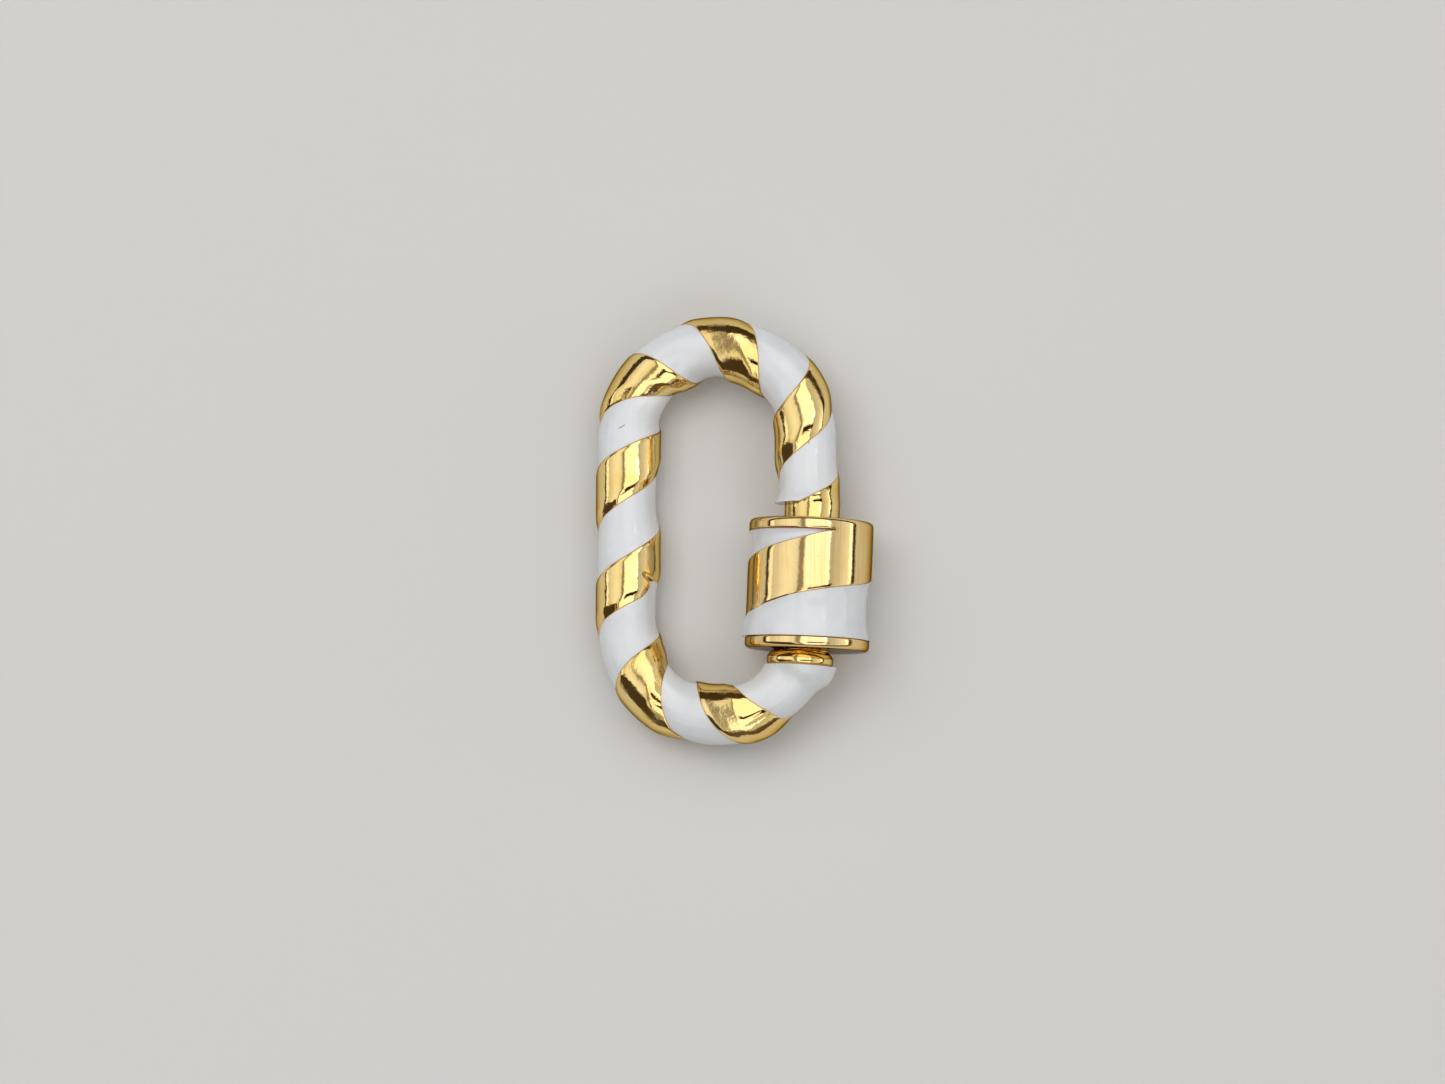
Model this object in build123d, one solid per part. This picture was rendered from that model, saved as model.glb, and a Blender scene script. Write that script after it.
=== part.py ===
from build123d import *
from collections import namedtuple
from math import asin, cos, degrees, floor, pi, radians, sin, tan
import os

# Screw carabiner clasp for a necklace or bracelet.
# A C-shaped oval ring of gilt brass carries a raised spiral ridge, and white enamel fills the channel
# beside it. A wider sleeve closes the gate in the ring's right leg. It slides on a smooth post that comes
# down from the upper half of the leg, and it screws onto a short stub that stands on the foot of the ring.
#
# Lengths are millimetres and angles are degrees.
# The ring's own frame has u to the right, v up along the legs and w out of its front. Its origin is the
# middle of the ring. A spiral's angle starts at the front and grows towards the outside of the ring.
# The finished clasp lies on its back: +X is right, +Y is up along the legs, +Z is away from the table.

# Ring
RING_HEIGHT = 28.0  # over the ridge, from the lower bow to the upper
LEG_SPACING = 11.7  # between the centre lines of the two legs
WIRE_RADIUS = 2.1  # of the ring's wire, over the ridge
CHANNEL_DEPTH = 0.75  # of the enamel's channel below the ridge
LEG_END_HEIGHT = 1.7  # of the right leg's end face above the ring's middle
FOOT_DROP = 8.7  # of the foot's end face below the ring's middle
FOOT_TILT = 3.5  # of the foot's end face, outer side down

# Gate: post, collar and screw stub
AXIS_LEAN = 2.4  # of the post, stub and sleeve from the leg, outwards at the top
AXIS_INSET = 0.05  # of the sleeve's foot from the leg's centre line, inwards
POST_RADIUS = 1.87
POST_CHAMFER = 0.3
COLLAR_RADIUS = 2.03
COLLAR_HEIGHT = 0.62
COLLAR_INSET = 0.5  # of the collar's middle from the leg's centre line, inwards
COLLAR_ROUNDING = 0.26
BOSS_RADIUS = 1.78  # of the seat between the collar and the sleeve
BOSS_HEIGHT = 0.34
SCREW_RADIUS = 1.6  # over the stub's thread
SCREW_LENGTH = 0.85
SCREW_PITCH = 0.5
SCREW_DEPTH = 0.2  # of the thread's groove

# Sleeve
SLEEVE_RADIUS = 4.0
SLEEVE_LENGTH = 8.33
LOWER_RIM = 0.70  # height of the plain gilt band at the sleeve's foot
UPPER_RIM = 0.74  # height of the plain gilt band at the sleeve's top
RIM_ROUNDING = 0.32
SLEEVE_CHANNEL_DEPTH = 0.55
BORE_CHAMFER = 0.12

# Fits
SLIDE_CLEARANCE = 0.05  # radial, of the sleeve on the post and over the stub's thread
SEAT_GAP = 0.04  # of faces that meet when the clasp is shut or fully open
GUIDE_GRIP = 0.3  # length of post that stays in the sleeve's guide bore when the clasp is shut
MOUTH_CLEARANCE = 0.2  # of the sleeve's wide mouth around the leg when the clasp is open
ENAMEL_GAP = 0.02  # between the enamel and its channel

# Enamel surface, as its depth below the ridge beside it
ENAMEL_EDGE = 0.13
ENAMEL_SAG = 0.42
SLEEVE_ENAMEL_EDGE = 0.04
SLEEVE_ENAMEL_SAG = 0.28
SAG_POWER = 2.4  # of the curve from the middle of the enamel to its edges

# Ridge profile: the outer side of each turn is crisp and the side towards the foot is rolled over
ROLL_WIDTH = 1.2
ROLL_DROP = 0.22
ROLL_MIDDLE = 0.25  # share of the drop that is reached halfway across the roll

# Facets
STEPS_PER_TURN = 24
FLOOR_STEPS = 4
CROWN_STEPS = 3
ENAMEL_STEPS = 6
SLEEVE_STEPS = 72  # along the sleeve's channel
SHORTEST_SIDE = 1e-6  # a facet with a shorter side has shrunk to a line
CUTTER_OVERRUN = 1.0  # length of a bore's cutter past the face that it opens
SPARE_TURNS = 2  # of the stub's thread past each end, before it is cut to length

# One row for each turn of the ridge, where it crosses the front of the ring. The centre and the width are
# shares of the centre line from the leg's end to the foot. The flare is the share by which it widens on the
# outside.
Turn = namedtuple("Turn", "centre width flare")
RIDGE = (
    Turn(-0.150, 0.060, 0.00),
    Turn(-0.022, 0.060, 0.00),
    Turn(0.107, 0.070, -0.19),
    Turn(0.240, 0.067, -0.06),
    Turn(0.368, 0.059, 0.17),
    Turn(0.498, 0.069, 0.06),
    Turn(0.636, 0.064, -0.05),
    Turn(0.769, 0.065, 0.19),
    Turn(0.900, 0.067, -0.06),
    Turn(1.027, 0.064, 0.00),
    Turn(1.157, 0.060, 0.00),
    Turn(1.287, 0.060, 0.00),
)

# The stub's thread across one pitch, as shares of the pitch and of the groove's depth
Corner = namedtuple("Corner", "along depth")
THREAD = (
    Corner(0.00, 0),
    Corner(0.20, 0),
    Corner(0.45, 1),
    Corner(0.75, 1),
    Corner(1.00, 0),
)

# The sleeve's channel, from its pointed upper end back round the sleeve and down to its pointed lower end.
# The rows are evenly spaced over its whole angle. The edges are shares of the height between the two rims.
CHANNEL_START = 32.0  # angle of the upper point, from the front towards the outside of the ring
CHANNEL_ANGLE = 545.0  # from the upper point to the lower one
Edges = namedtuple("Edges", "upper lower")
SLEEVE_CHANNEL = (
    Edges(1.000, 0.985),
    Edges(1.000, 0.895),
    Edges(1.000, 0.797),
    Edges(0.998, 0.688),
    Edges(0.967, 0.563),
    Edges(0.893, 0.420),
    Edges(0.790, 0.265),
    Edges(0.690, 0.120),
    Edges(0.592, 0.012),
    Edges(0.525, 0.000),
    Edges(0.468, 0.000),
    Edges(0.395, 0.000),
    Edges(0.283, 0.000),
    Edges(0.206, 0.000),
    Edges(0.115, 0.000),
    Edges(0.012, 0.000),
)

# Ring centre line
BOW_RADIUS = LEG_SPACING / 2
BOW_HEIGHT = RING_HEIGHT / 2 - WIRE_RADIUS - BOW_RADIUS  # of each bow's centre from the ring's middle
FOOT_ANGLE = asin((FOOT_DROP - BOW_HEIGHT) / BOW_RADIUS)
UPPER_LEG = BOW_HEIGHT - LEG_END_HEIGHT
TOP_BOW = pi * BOW_RADIUS
LEFT_LEG = 2 * BOW_HEIGHT
RING_LENGTH = UPPER_LEG + TOP_BOW + LEFT_LEG + (pi - FOOT_ANGLE) * BOW_RADIUS

# Heights along the sleeve's axis, from the foot of the shut sleeve
AXIS_FOOT = Vector(
    BOW_RADIUS - AXIS_INSET,
    -FOOT_DROP + COLLAR_HEIGHT + BOSS_HEIGHT + SEAT_GAP,
    0,
)
AXIS_UP = Vector(sin(radians(AXIS_LEAN)), cos(radians(AXIS_LEAN)), 0)
LEG_END = (LEG_END_HEIGHT - AXIS_FOOT.Y) / AXIS_UP.Y
LEDGE = SCREW_LENGTH + 2 * SEAT_GAP  # of the bore that screws onto the stub
TRAVEL = (LEG_END - LEDGE - GUIDE_GRIP - 2 * SEAT_GAP) / 2
GUIDE_TOP = LEG_END - SEAT_GAP - TRAVEL
POST_END = GUIDE_TOP - GUIDE_GRIP
SCREW_BORE = SCREW_RADIUS + SLIDE_CLEARANCE
GUIDE_BORE = POST_RADIUS + SLIDE_CLEARANCE
FURTHEST_OFFSET = AXIS_UP.X * (SLEEVE_LENGTH + TRAVEL) - AXIS_INSET  # of the leg from the open sleeve's axis
MOUTH_BORE = WIRE_RADIUS + FURTHEST_OFFSET + MOUTH_CLEARANCE
RIM_SPACE = SLEEVE_LENGTH - LOWER_RIM - UPPER_RIM

# The clasp rests on the sleeve and on the left leg, so the ring is rolled about the direction of its legs
ROLL = degrees(asin((SLEEVE_RADIUS - WIRE_RADIUS) / (BOW_RADIUS + AXIS_FOOT.X)))


def ring_point(length, angle, radius):
    """Point of the ring's wire, by length from the leg's end, angle round the wire and radius."""
    past_leg = length - UPPER_LEG
    past_top = past_leg - TOP_BOW
    past_left = past_top - LEFT_LEG
    if past_leg < 0:
        centre, outward = Vector(BOW_RADIUS, BOW_HEIGHT + past_leg, 0), Vector(1, 0, 0)
    elif past_top < 0:
        turn = past_leg / BOW_RADIUS
        outward = Vector(cos(turn), sin(turn), 0)
        centre = Vector(0, BOW_HEIGHT, 0) + outward * BOW_RADIUS
    elif past_left < 0:
        centre, outward = Vector(-BOW_RADIUS, BOW_HEIGHT - past_top, 0), Vector(-1, 0, 0)
    else:
        turn = pi + past_left / BOW_RADIUS
        outward = Vector(cos(turn), sin(turn), 0)
        centre = Vector(0, -BOW_HEIGHT, 0) + outward * BOW_RADIUS
    return centre + (Vector(0, 0, cos(angle)) + outward * sin(angle)) * radius


def screw_point(height, angle, radius):
    """Point about the sleeve's axis, by height from the shut sleeve's foot, angle and radius."""
    outward = Vector(AXIS_UP.Y, -AXIS_UP.X, 0)
    return AXIS_FOOT + AXIS_UP * height + (Vector(0, 0, cos(angle)) + outward * sin(angle)) * radius


def smooth(values, place):
    """Value of a smooth curve through evenly spaced values, at a place counted in spacings."""
    first = min(max(floor(place), 0), len(values) - 2)
    before = values[max(first - 1, 0)]
    start, end = values[first], values[first + 1]
    after = values[min(first + 2, len(values) - 1)]
    t = place - first
    slope_in, slope_out = (end - before) / 2, (after - start) / 2
    bend = (2 * t**3 - 3 * t**2 + 1) * start + (t**3 - 2 * t**2 + t) * slope_in
    return bend + (3 * t**2 - 2 * t**3) * end + (t**3 - t**2) * slope_out


def ridge_edges(turns):
    """Both edges of the ridge along the ring, after a number of turns from the table's first row."""
    centre = smooth([row.centre for row in RIDGE], turns)
    width = smooth([row.width for row in RIDGE], turns)
    flare = smooth([row.flare for row in RIDGE], turns)
    half = width * (1 + flare * sin(2 * pi * turns)) / 2
    return (centre - half) * RING_LENGTH, (centre + half) * RING_LENGTH


def spread(start, end, steps):
    """Evenly spaced values from start to end, both included."""
    return [start + (end - start) * i / steps for i in range(steps + 1)]


def sagging(share, edge, sag):
    """Depth of the enamel's surface at a share of its width."""
    return edge + (sag - edge) * (1 - abs(2 * share - 1) ** SAG_POWER)


def facet(corners):
    """Flat face through the corners."""
    return Face(Wire.make_polygon(corners))


def facets_between(row, following):
    """Triangles between two rows of points, without those that have shrunk to a line."""
    faces = []
    for (a, b), (d, c) in zip(zip(row, row[1:]), zip(following, following[1:])):
        for triangle in ((a, b, c), (a, c, d)):
            if all((p - q).length > SHORTEST_SIDE for p, q in zip(triangle, triangle[1:] + triangle[:1])):
                faces.append(facet(triangle))
    return faces


def strip_solid(sections):
    """Closed solid through a list of closed sections with as many points each."""
    loops = [section + section[:1] for section in sections]
    faces = [face for pair in zip(loops, loops[1:]) for face in facets_between(*pair)]
    for loop in (loops[0], loops[-1]):
        middle = sum(loop[1:], Vector()) / (len(loop) - 1)
        faces += [facet((a, b, middle)) for a, b in zip(loop, loop[1:])]
    return Solid(Shell(faces))


def spiral_rod(place, profile, first_turn, last_turn, low, high, end_radius):
    """Closed solid of a rod with a spiral form on it.

    profile gives the lengths and radii across one pitch after a number of turns, and its last point is the
    first point one turn later. The rod ends at the lengths low and high with the end radius.
    """
    rows = []
    for step in range(first_turn * STEPS_PER_TURN, last_turn * STEPS_PER_TURN + 1):
        turns = step / STEPS_PER_TURN
        row = []
        for length, radius in profile(turns):
            if low < length < high:
                row.append(place(length, 2 * pi * turns, radius))
            else:
                row.append(place(min(max(length, low), high), 2 * pi * turns, end_radius))
        rows.append(row)
    faces = [face for pair in zip(rows, rows[1:]) for face in facets_between(*pair)]
    round_steps = [2 * pi * step / STEPS_PER_TURN for step in range(STEPS_PER_TURN)]
    faces += [facet([place(end, angle, end_radius) for angle in round_steps]) for end in (low, high)]
    return Solid(Shell(faces))


def ridge_profile(turns):
    """Lengths and radii of the ring's metal across the ridge and the channel after it."""
    near, far = ridge_edges(turns)
    following, _ = ridge_edges(turns + 1)
    roll = min(ROLL_WIDTH, (far - near) / 2)
    crown = [(length, WIRE_RADIUS) for length in spread(near, far - roll, CROWN_STEPS)]
    rolled = [(far - roll / 2, WIRE_RADIUS - ROLL_MIDDLE * ROLL_DROP), (far, WIRE_RADIUS - ROLL_DROP)]
    channel = [(length, WIRE_RADIUS - CHANNEL_DEPTH) for length in spread(far, following, FLOOR_STEPS)]
    return crown + rolled + channel + [(following, WIRE_RADIUS)]


def ring_enamel_section(turns):
    """Closed section of the ring's enamel after a number of turns."""
    _, near = ridge_edges(turns)
    far, _ = ridge_edges(turns + 1)
    near, far = near + ENAMEL_GAP, far - ENAMEL_GAP
    angle = 2 * pi * turns
    bottom = WIRE_RADIUS - CHANNEL_DEPTH + ENAMEL_GAP
    section = [ring_point(length, angle, bottom) for length in spread(near, far, FLOOR_STEPS)]
    for share in spread(1, 0, ENAMEL_STEPS):
        # the edge beside the rolled side of the ridge is lower
        edge = ENAMEL_EDGE + (1 - share) * (ROLL_DROP - ENAMEL_EDGE)
        top = WIRE_RADIUS - sagging(share, edge, ENAMEL_SAG)
        section.append(ring_point(near + share * (far - near), angle, top))
    return section


def channel_edges(share):
    """Lower and upper edge of the sleeve's channel, as heights, at a share of its whole angle."""
    place = share * (len(SLEEVE_CHANNEL) - 1)
    lower = min(max(smooth([row.lower for row in SLEEVE_CHANNEL], place), 0), 1)
    upper = min(max(smooth([row.upper for row in SLEEVE_CHANNEL], place), 0), 1)
    return LOWER_RIM + lower * RIM_SPACE, LOWER_RIM + upper * RIM_SPACE


def sleeve_channel_solid(gap, top_depth):
    """Solid that fills the sleeve's channel, kept clear of its walls and floor by the gap.

    top_depth gives the depth of its outer surface at a share of the channel's width.
    """
    sections = []
    for share_round in spread(0, 1, SLEEVE_STEPS):
        low, high = channel_edges(share_round)
        side = min(gap, (high - low) / 4)
        low, high = low + side, high - side
        angle = radians(CHANNEL_START - share_round * CHANNEL_ANGLE)
        bottom = SLEEVE_RADIUS - SLEEVE_CHANNEL_DEPTH + gap
        section = [screw_point(low, angle, bottom), screw_point(high, angle, bottom)]
        for share in spread(1, 0, ENAMEL_STEPS):
            height = low + share * (high - low)
            section.append(screw_point(height, angle, SLEEVE_RADIUS - top_depth(share)))
        sections.append(section)
    return strip_solid(sections)


def gate_block(gap):
    """Block that fills the gate between the leg's end face and the foot's end face, grown by the gap."""
    foot_slope = tan(radians(FOOT_TILT))
    reach = 2 * WIRE_RADIUS
    inner, outer = BOW_RADIUS - reach, BOW_RADIUS + reach
    middle = BOW_RADIUS - COLLAR_INSET
    foot = -FOOT_DROP - gap
    outline = Polyline(
        (inner, foot + (middle - inner) * foot_slope),
        (outer, foot + (middle - outer) * foot_slope),
        (outer, LEG_END_HEIGHT + gap),
        (inner, LEG_END_HEIGHT + gap),
        close=True,
    )
    return extrude(make_face(outline), reach, both=True)


def sleeve_plane(height):
    """Plane across the sleeve's axis at a height, with its x towards the front of the ring."""
    return Plane(AXIS_FOOT + AXIS_UP * height, x_dir=(0, 0, 1), z_dir=AXIS_UP)


def rod(radius, low, high):
    """Cylinder on the sleeve's axis between two heights."""
    return sleeve_plane(low) * Cylinder(radius, high - low, align=(Align.CENTER, Align.CENTER, Align.MIN))


def make_post():
    """Smooth post from the leg's end face down into the sleeve."""
    post = rod(POST_RADIUS, POST_END, LEG_END + POST_RADIUS)
    post = chamfer(post.edges().sort_by(Axis.Y)[0], POST_CHAMFER)
    reach = 4 * POST_RADIUS
    leg = Box(reach, reach, reach, align=(Align.CENTER, Align.MIN, Align.CENTER))
    return post - Pos(BOW_RADIUS, LEG_END_HEIGHT, 0) * leg


def make_collar():
    """Rounded collar on the foot's end face."""
    up = Vector(sin(radians(FOOT_TILT)), cos(radians(FOOT_TILT)), 0)
    base = Plane((BOW_RADIUS - COLLAR_INSET, -FOOT_DROP, 0), x_dir=(0, 0, 1), z_dir=up)
    disc = base * Cylinder(COLLAR_RADIUS, COLLAR_HEIGHT, align=(Align.CENTER, Align.CENTER, Align.MIN))
    return fillet(disc.edges().filter_by(GeomType.CIRCLE), COLLAR_ROUNDING)


def thread_profile(turns):
    """Heights and radii across one pitch of the stub's thread."""
    return [((turns + row.along) * SCREW_PITCH, SCREW_RADIUS - row.depth * SCREW_DEPTH) for row in THREAD]


def make_stub():
    """Seat boss on the collar and the screw stub above it."""
    boss = rod(BOSS_RADIUS, -SEAT_GAP - BOSS_HEIGHT - COLLAR_HEIGHT / 2, -SEAT_GAP)
    low = -SEAT_GAP - BOSS_HEIGHT / 2
    first = floor(low / SCREW_PITCH) - SPARE_TURNS
    last = floor(SCREW_LENGTH / SCREW_PITCH) + SPARE_TURNS
    thread = spiral_rod(
        screw_point, thread_profile, first, last, low, SCREW_LENGTH, SCREW_RADIUS - SCREW_DEPTH
    )
    return boss + thread


def make_ring_body():
    """Ring with its ridge, post, collar and stub."""
    run_out = UPPER_LEG / 2
    wire = spiral_rod(
        ring_point,
        ridge_profile,
        0,
        len(RIDGE) - 2,
        -run_out,
        RING_LENGTH + run_out,
        WIRE_RADIUS - CHANNEL_DEPTH,
    )
    fittings = make_post() + make_collar() + make_stub()
    return wire - gate_block(0) + fittings


def make_ring_enamel():
    """Enamel in the ring's channel, cut off at the gate."""
    steps = range(0, (len(RIDGE) - 3) * STEPS_PER_TURN + 1)
    strip = strip_solid([ring_enamel_section(step / STEPS_PER_TURN) for step in steps])
    return strip - gate_block(ENAMEL_GAP)


def make_sleeve():
    """Sleeve with its stepped bore, rounded rims and enamel channel."""
    sleeve = rod(SLEEVE_RADIUS, 0, SLEEVE_LENGTH)
    sleeve = fillet(sleeve.edges().filter_by(GeomType.CIRCLE), RIM_ROUNDING)
    sleeve -= rod(SCREW_BORE, -CUTTER_OVERRUN, LEDGE + CUTTER_OVERRUN)
    sleeve -= rod(GUIDE_BORE, LEDGE, GUIDE_TOP + CUTTER_OVERRUN)
    sleeve -= rod(MOUTH_BORE, GUIDE_TOP, SLEEVE_LENGTH + CUTTER_OVERRUN)
    circles = sleeve.edges().filter_by(GeomType.CIRCLE).group_by(Axis(AXIS_FOOT, AXIS_UP))
    bores = [group.sort_by(SortBy.RADIUS)[0] for group in (circles[0], circles[-1])]
    sleeve = chamfer(bores, BORE_CHAMFER)
    return sleeve - sleeve_channel_solid(0, lambda share: -SLEEVE_CHANNEL_DEPTH)


def make_sleeve_enamel():
    """Enamel in the sleeve's channel."""
    return sleeve_channel_solid(
        ENAMEL_GAP, lambda share: sagging(share, SLEEVE_ENAMEL_EDGE, SLEEVE_ENAMEL_SAG)
    )


pieces = {
    "ring_body": make_ring_body(),
    "ring_enamel": make_ring_enamel(),
    "screw_sleeve": make_sleeve(),
    "sleeve_enamel": make_sleeve_enamel(),
}
rolled = {name: Rot(0, -ROLL, 0) * piece for name, piece in pieces.items()}
box = Compound(list(rolled.values())).bounding_box()
to_rest = Pos(-box.center().X, -box.center().Y, -box.min.Z)
os.makedirs("parts", exist_ok=True)
for name, piece in rolled.items():
    export_step(to_rest * piece, f"parts/{name}.step")
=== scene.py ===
import logging
from dataclasses import dataclass
from enum import Enum
from math import asin, ceil, cos, degrees, exp, floor, pi, radians, sin, sqrt, tan
from typing import Callable, Iterable, Sequence

import bmesh
import bpy
import numpy as np
from mathutils import Matrix, Vector, noise


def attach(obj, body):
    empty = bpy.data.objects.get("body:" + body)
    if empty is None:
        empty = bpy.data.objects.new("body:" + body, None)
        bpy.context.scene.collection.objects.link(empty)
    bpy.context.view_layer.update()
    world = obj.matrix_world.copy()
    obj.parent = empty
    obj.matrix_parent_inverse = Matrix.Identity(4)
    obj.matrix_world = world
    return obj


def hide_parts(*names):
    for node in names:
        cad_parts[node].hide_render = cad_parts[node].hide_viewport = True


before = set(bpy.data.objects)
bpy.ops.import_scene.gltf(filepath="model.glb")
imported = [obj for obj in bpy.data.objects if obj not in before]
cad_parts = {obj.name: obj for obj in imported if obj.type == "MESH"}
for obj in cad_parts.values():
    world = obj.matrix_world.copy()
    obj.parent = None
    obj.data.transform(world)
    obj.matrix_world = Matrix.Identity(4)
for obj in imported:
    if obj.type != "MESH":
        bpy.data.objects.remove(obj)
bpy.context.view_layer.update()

LOG = logging.getLogger("clasp")
MM = 0.001
FULL_TURN = 2 * pi

# A sheet is an array of rows of points: length along a path, angle round it and radius, in millimetres and
# radians, then its painted edge shade, from how near an edge it is, and how worn it is, both from 0 to 1.
Sheet = np.ndarray
Point = tuple[float, float, float, float]  # length, radius, painted edge shade, wear
Profile = list[tuple[float, float]]
Colour = tuple[float, float, float, float]


# Node maths


def operators(operation: str) -> tuple[Callable[..., "Link"], Callable[..., "Link"]]:
    """Makes an operator's method and its reflected form.

    Args:
        operation: The Math node's operation.

    Returns:
        The method with the socket first, and the one with the number first.
    """

    def straight(self: "Link", other: "Link | float") -> "Link":
        """Socket first."""
        return self.graph.maths(operation, self, other)

    def reflected(self: "Link", other: float) -> "Link":
        """Number first."""
        return self.graph.maths(operation, other, self)

    return straight, reflected


@dataclass(frozen=True)
class Link:
    """A node's output that can be used in Python expressions."""

    graph: "Graph"
    socket: bpy.types.NodeSocket

    __add__, __radd__ = operators("ADD")
    __sub__, __rsub__ = operators("SUBTRACT")
    __mul__, __rmul__ = operators("MULTIPLY")

    def over(self, low: float, high: float) -> "Link":
        """Smooth step.

        Args:
            low: Where it is still 0.
            high: Where it has come to 1.

        Returns:
            The step.
        """
        return self.graph.add(
            "ShaderNodeMapRange",
            {"interpolation_type": "SMOOTHSTEP"},
            {"Value": self, "From Min": low, "From Max": high, "To Min": 0.0, "To Max": 1.0},
        )


@dataclass
class Graph:
    """A shader or geometry node tree that is written as expressions."""

    tree: bpy.types.NodeTree

    def add(
        self,
        kind: str,
        settings: dict[str, object] | None = None,
        sockets: dict[str | int, object] | None = None,
        output: str | int = 0,
    ) -> Link:
        """Adds a node.

        Args:
            kind: The node's type.
            settings: Its properties, set first.
            sockets: Values or links of its inputs, by name, identifier or number.
            output: The output to return, by name, identifier or number.

        Returns:
            The chosen output, or the first input of a node without outputs.
        """
        node = self.tree.nodes.new(kind)
        for name, value in (settings or {}).items():
            setattr(node, name, value)
        for name, value in (sockets or {}).items():
            socket = self._find(node.inputs, name)
            if isinstance(value, Link):
                self.tree.links.new(value.socket, socket)
            else:
                socket.default_value = value
        if not node.outputs:
            return Link(self, node.inputs[0])
        return Link(self, self._find(node.outputs, output))

    def maths(self, operation: str, *values: "Link | float") -> Link:
        """Adds a Math node for an operation on its values."""
        return self.add("ShaderNodeMath", {"operation": operation}, dict(enumerate(values)))

    def vector(self, operation: str, *values: object, output: str | int = 0) -> Link:
        """Adds a Vector Math node for an operation on its values."""
        return self.add("ShaderNodeVectorMath", {"operation": operation}, dict(enumerate(values)), output)

    def blend(self, share: "Link | float", first: object, second: object) -> Link:
        """Mixes two colours.

        Args:
            share: How much of the second one.
            first: A colour.
            second: A colour.

        Returns:
            The mixture.
        """
        return self.add(
            "ShaderNodeMix",
            {"data_type": "RGBA"},
            {"Factor_Float": share, "A_Color": first, "B_Color": second},
            "Result_Color",
        )

    def scaled(self, vector: "Link | Sequence[float]", factor: Link) -> Link:
        """Adds a vector times a number."""
        return self.add("ShaderNodeVectorMath", {"operation": "SCALE"}, {0: vector, "Scale": factor})

    def split(self, vector: Link) -> list[Link]:
        """Adds the three numbers of a vector."""
        first = self.add("ShaderNodeSeparateXYZ", None, {"Vector": vector})
        return [Link(self, output) for output in first.socket.node.outputs]

    def attribute(self, name: str) -> Link:
        """Adds a number that each point of the mesh holds."""
        return self.add("ShaderNodeAttribute", {"attribute_name": name}, output="Fac")

    def noise(self, place: Link, grain: "Grain") -> Link:
        """Adds a noise value about 0.5 at a place."""
        sockets = {"Vector": place, "Scale": grain.scale, "Detail": grain.detail, "Roughness": grain.rough}
        return self.add("ShaderNodeTexNoise", None, sockets)

    def patches(self, place: Link, grain: "Grain") -> Link:
        """Adds soft patches of noise, from 0 between them to 1 in their middle."""
        return self.noise(place, grain).over(grain.low, grain.high)

    def ripples(self, place: Link, grain: "Grain") -> Link:
        """Adds noise about 0."""
        return self.noise(place, grain) - 0.5

    def spots(self, place: Link, kind: "Spots") -> Link:
        """Adds scattered round spots.

        Args:
            place: Where they are read.
            kind: Their sizes.

        Returns:
            1 in the middle of a spot and 0 between them.
        """
        sockets = {"Vector": place, "Scale": kind.scale}
        gap = self.add("ShaderNodeTexVoronoi", {"feature": "F1"}, sockets, "Distance")
        chance = self.add("ShaderNodeTexVoronoi", {"feature": "F1"}, sockets, "Color")
        lot = self.add("ShaderNodeSeparateColor", None, {"Color": chance}, kind.channel)
        kept = 1.0 - lot.over(kind.share, kind.share + 0.01)
        return (1.0 - gap.over(kind.core * kind.radius, kind.radius)) * kept

    def surface(self, height: Link, relief: float, sockets: dict[str, object]) -> None:
        """Adds the shader and the material's output.

        Args:
            height: Height of the fine relief.
            relief: What a height of 1 stands for, in metres.
            sockets: Values and links of the shader's other inputs.
        """
        bump = self.add("ShaderNodeBump", None, {"Strength": 1.0, "Distance": relief, "Height": height})
        shader = self.add("ShaderNodeBsdfPrincipled", None, {**sockets, "Normal": bump})
        self.add("ShaderNodeOutputMaterial", None, {"Surface": shader})

    @staticmethod
    def _find(sockets: Iterable[bpy.types.NodeSocket], name: str | int) -> bpy.types.NodeSocket:
        """Finds a socket.

        Args:
            sockets: A node's inputs or outputs.
            name: Its number, identifier or name.

        Returns:
            The socket.
        """
        listed = list(sockets)
        if isinstance(name, int):
            return listed[name]
        for socket in listed:
            if socket.identifier == name:
                return socket
        return next(socket for socket in listed if socket.name == name and socket.enabled)


# Finishes


class Finish(Enum):
    """The finishes of the clasp and its floor."""

    RING_GILT = "ring_gilt"
    SLEEVE_GILT = "sleeve_gilt"
    ENAMEL = "white_enamel"
    FLOOR = "pale_floor"


@dataclass(frozen=True)
class Grain:
    """A noise pattern."""

    scale: float  # per metre
    detail: float = 2.0
    rough: float = 0.5
    low: float = 0.4  # value at which its patches start
    high: float = 0.6  # value at which they are full


@dataclass(frozen=True)
class Spots:
    """Scattered round spots of a surface."""

    scale: float  # cells per metre
    radius: float  # as a share of a cell
    share: float  # of the cells that hold a spot
    channel: str  # of the random colour that decides it
    core: float = 0.4  # share of the radius that is full


def new_material(name: str) -> tuple[bpy.types.Material, Graph]:
    """Makes an empty node material.

    Args:
        name: Its name.

    Returns:
        The material and its node graph.
    """
    material = bpy.data.materials.new(name)
    material.use_nodes = True
    material.node_tree.nodes.clear()
    return material, Graph(material.node_tree)


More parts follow.
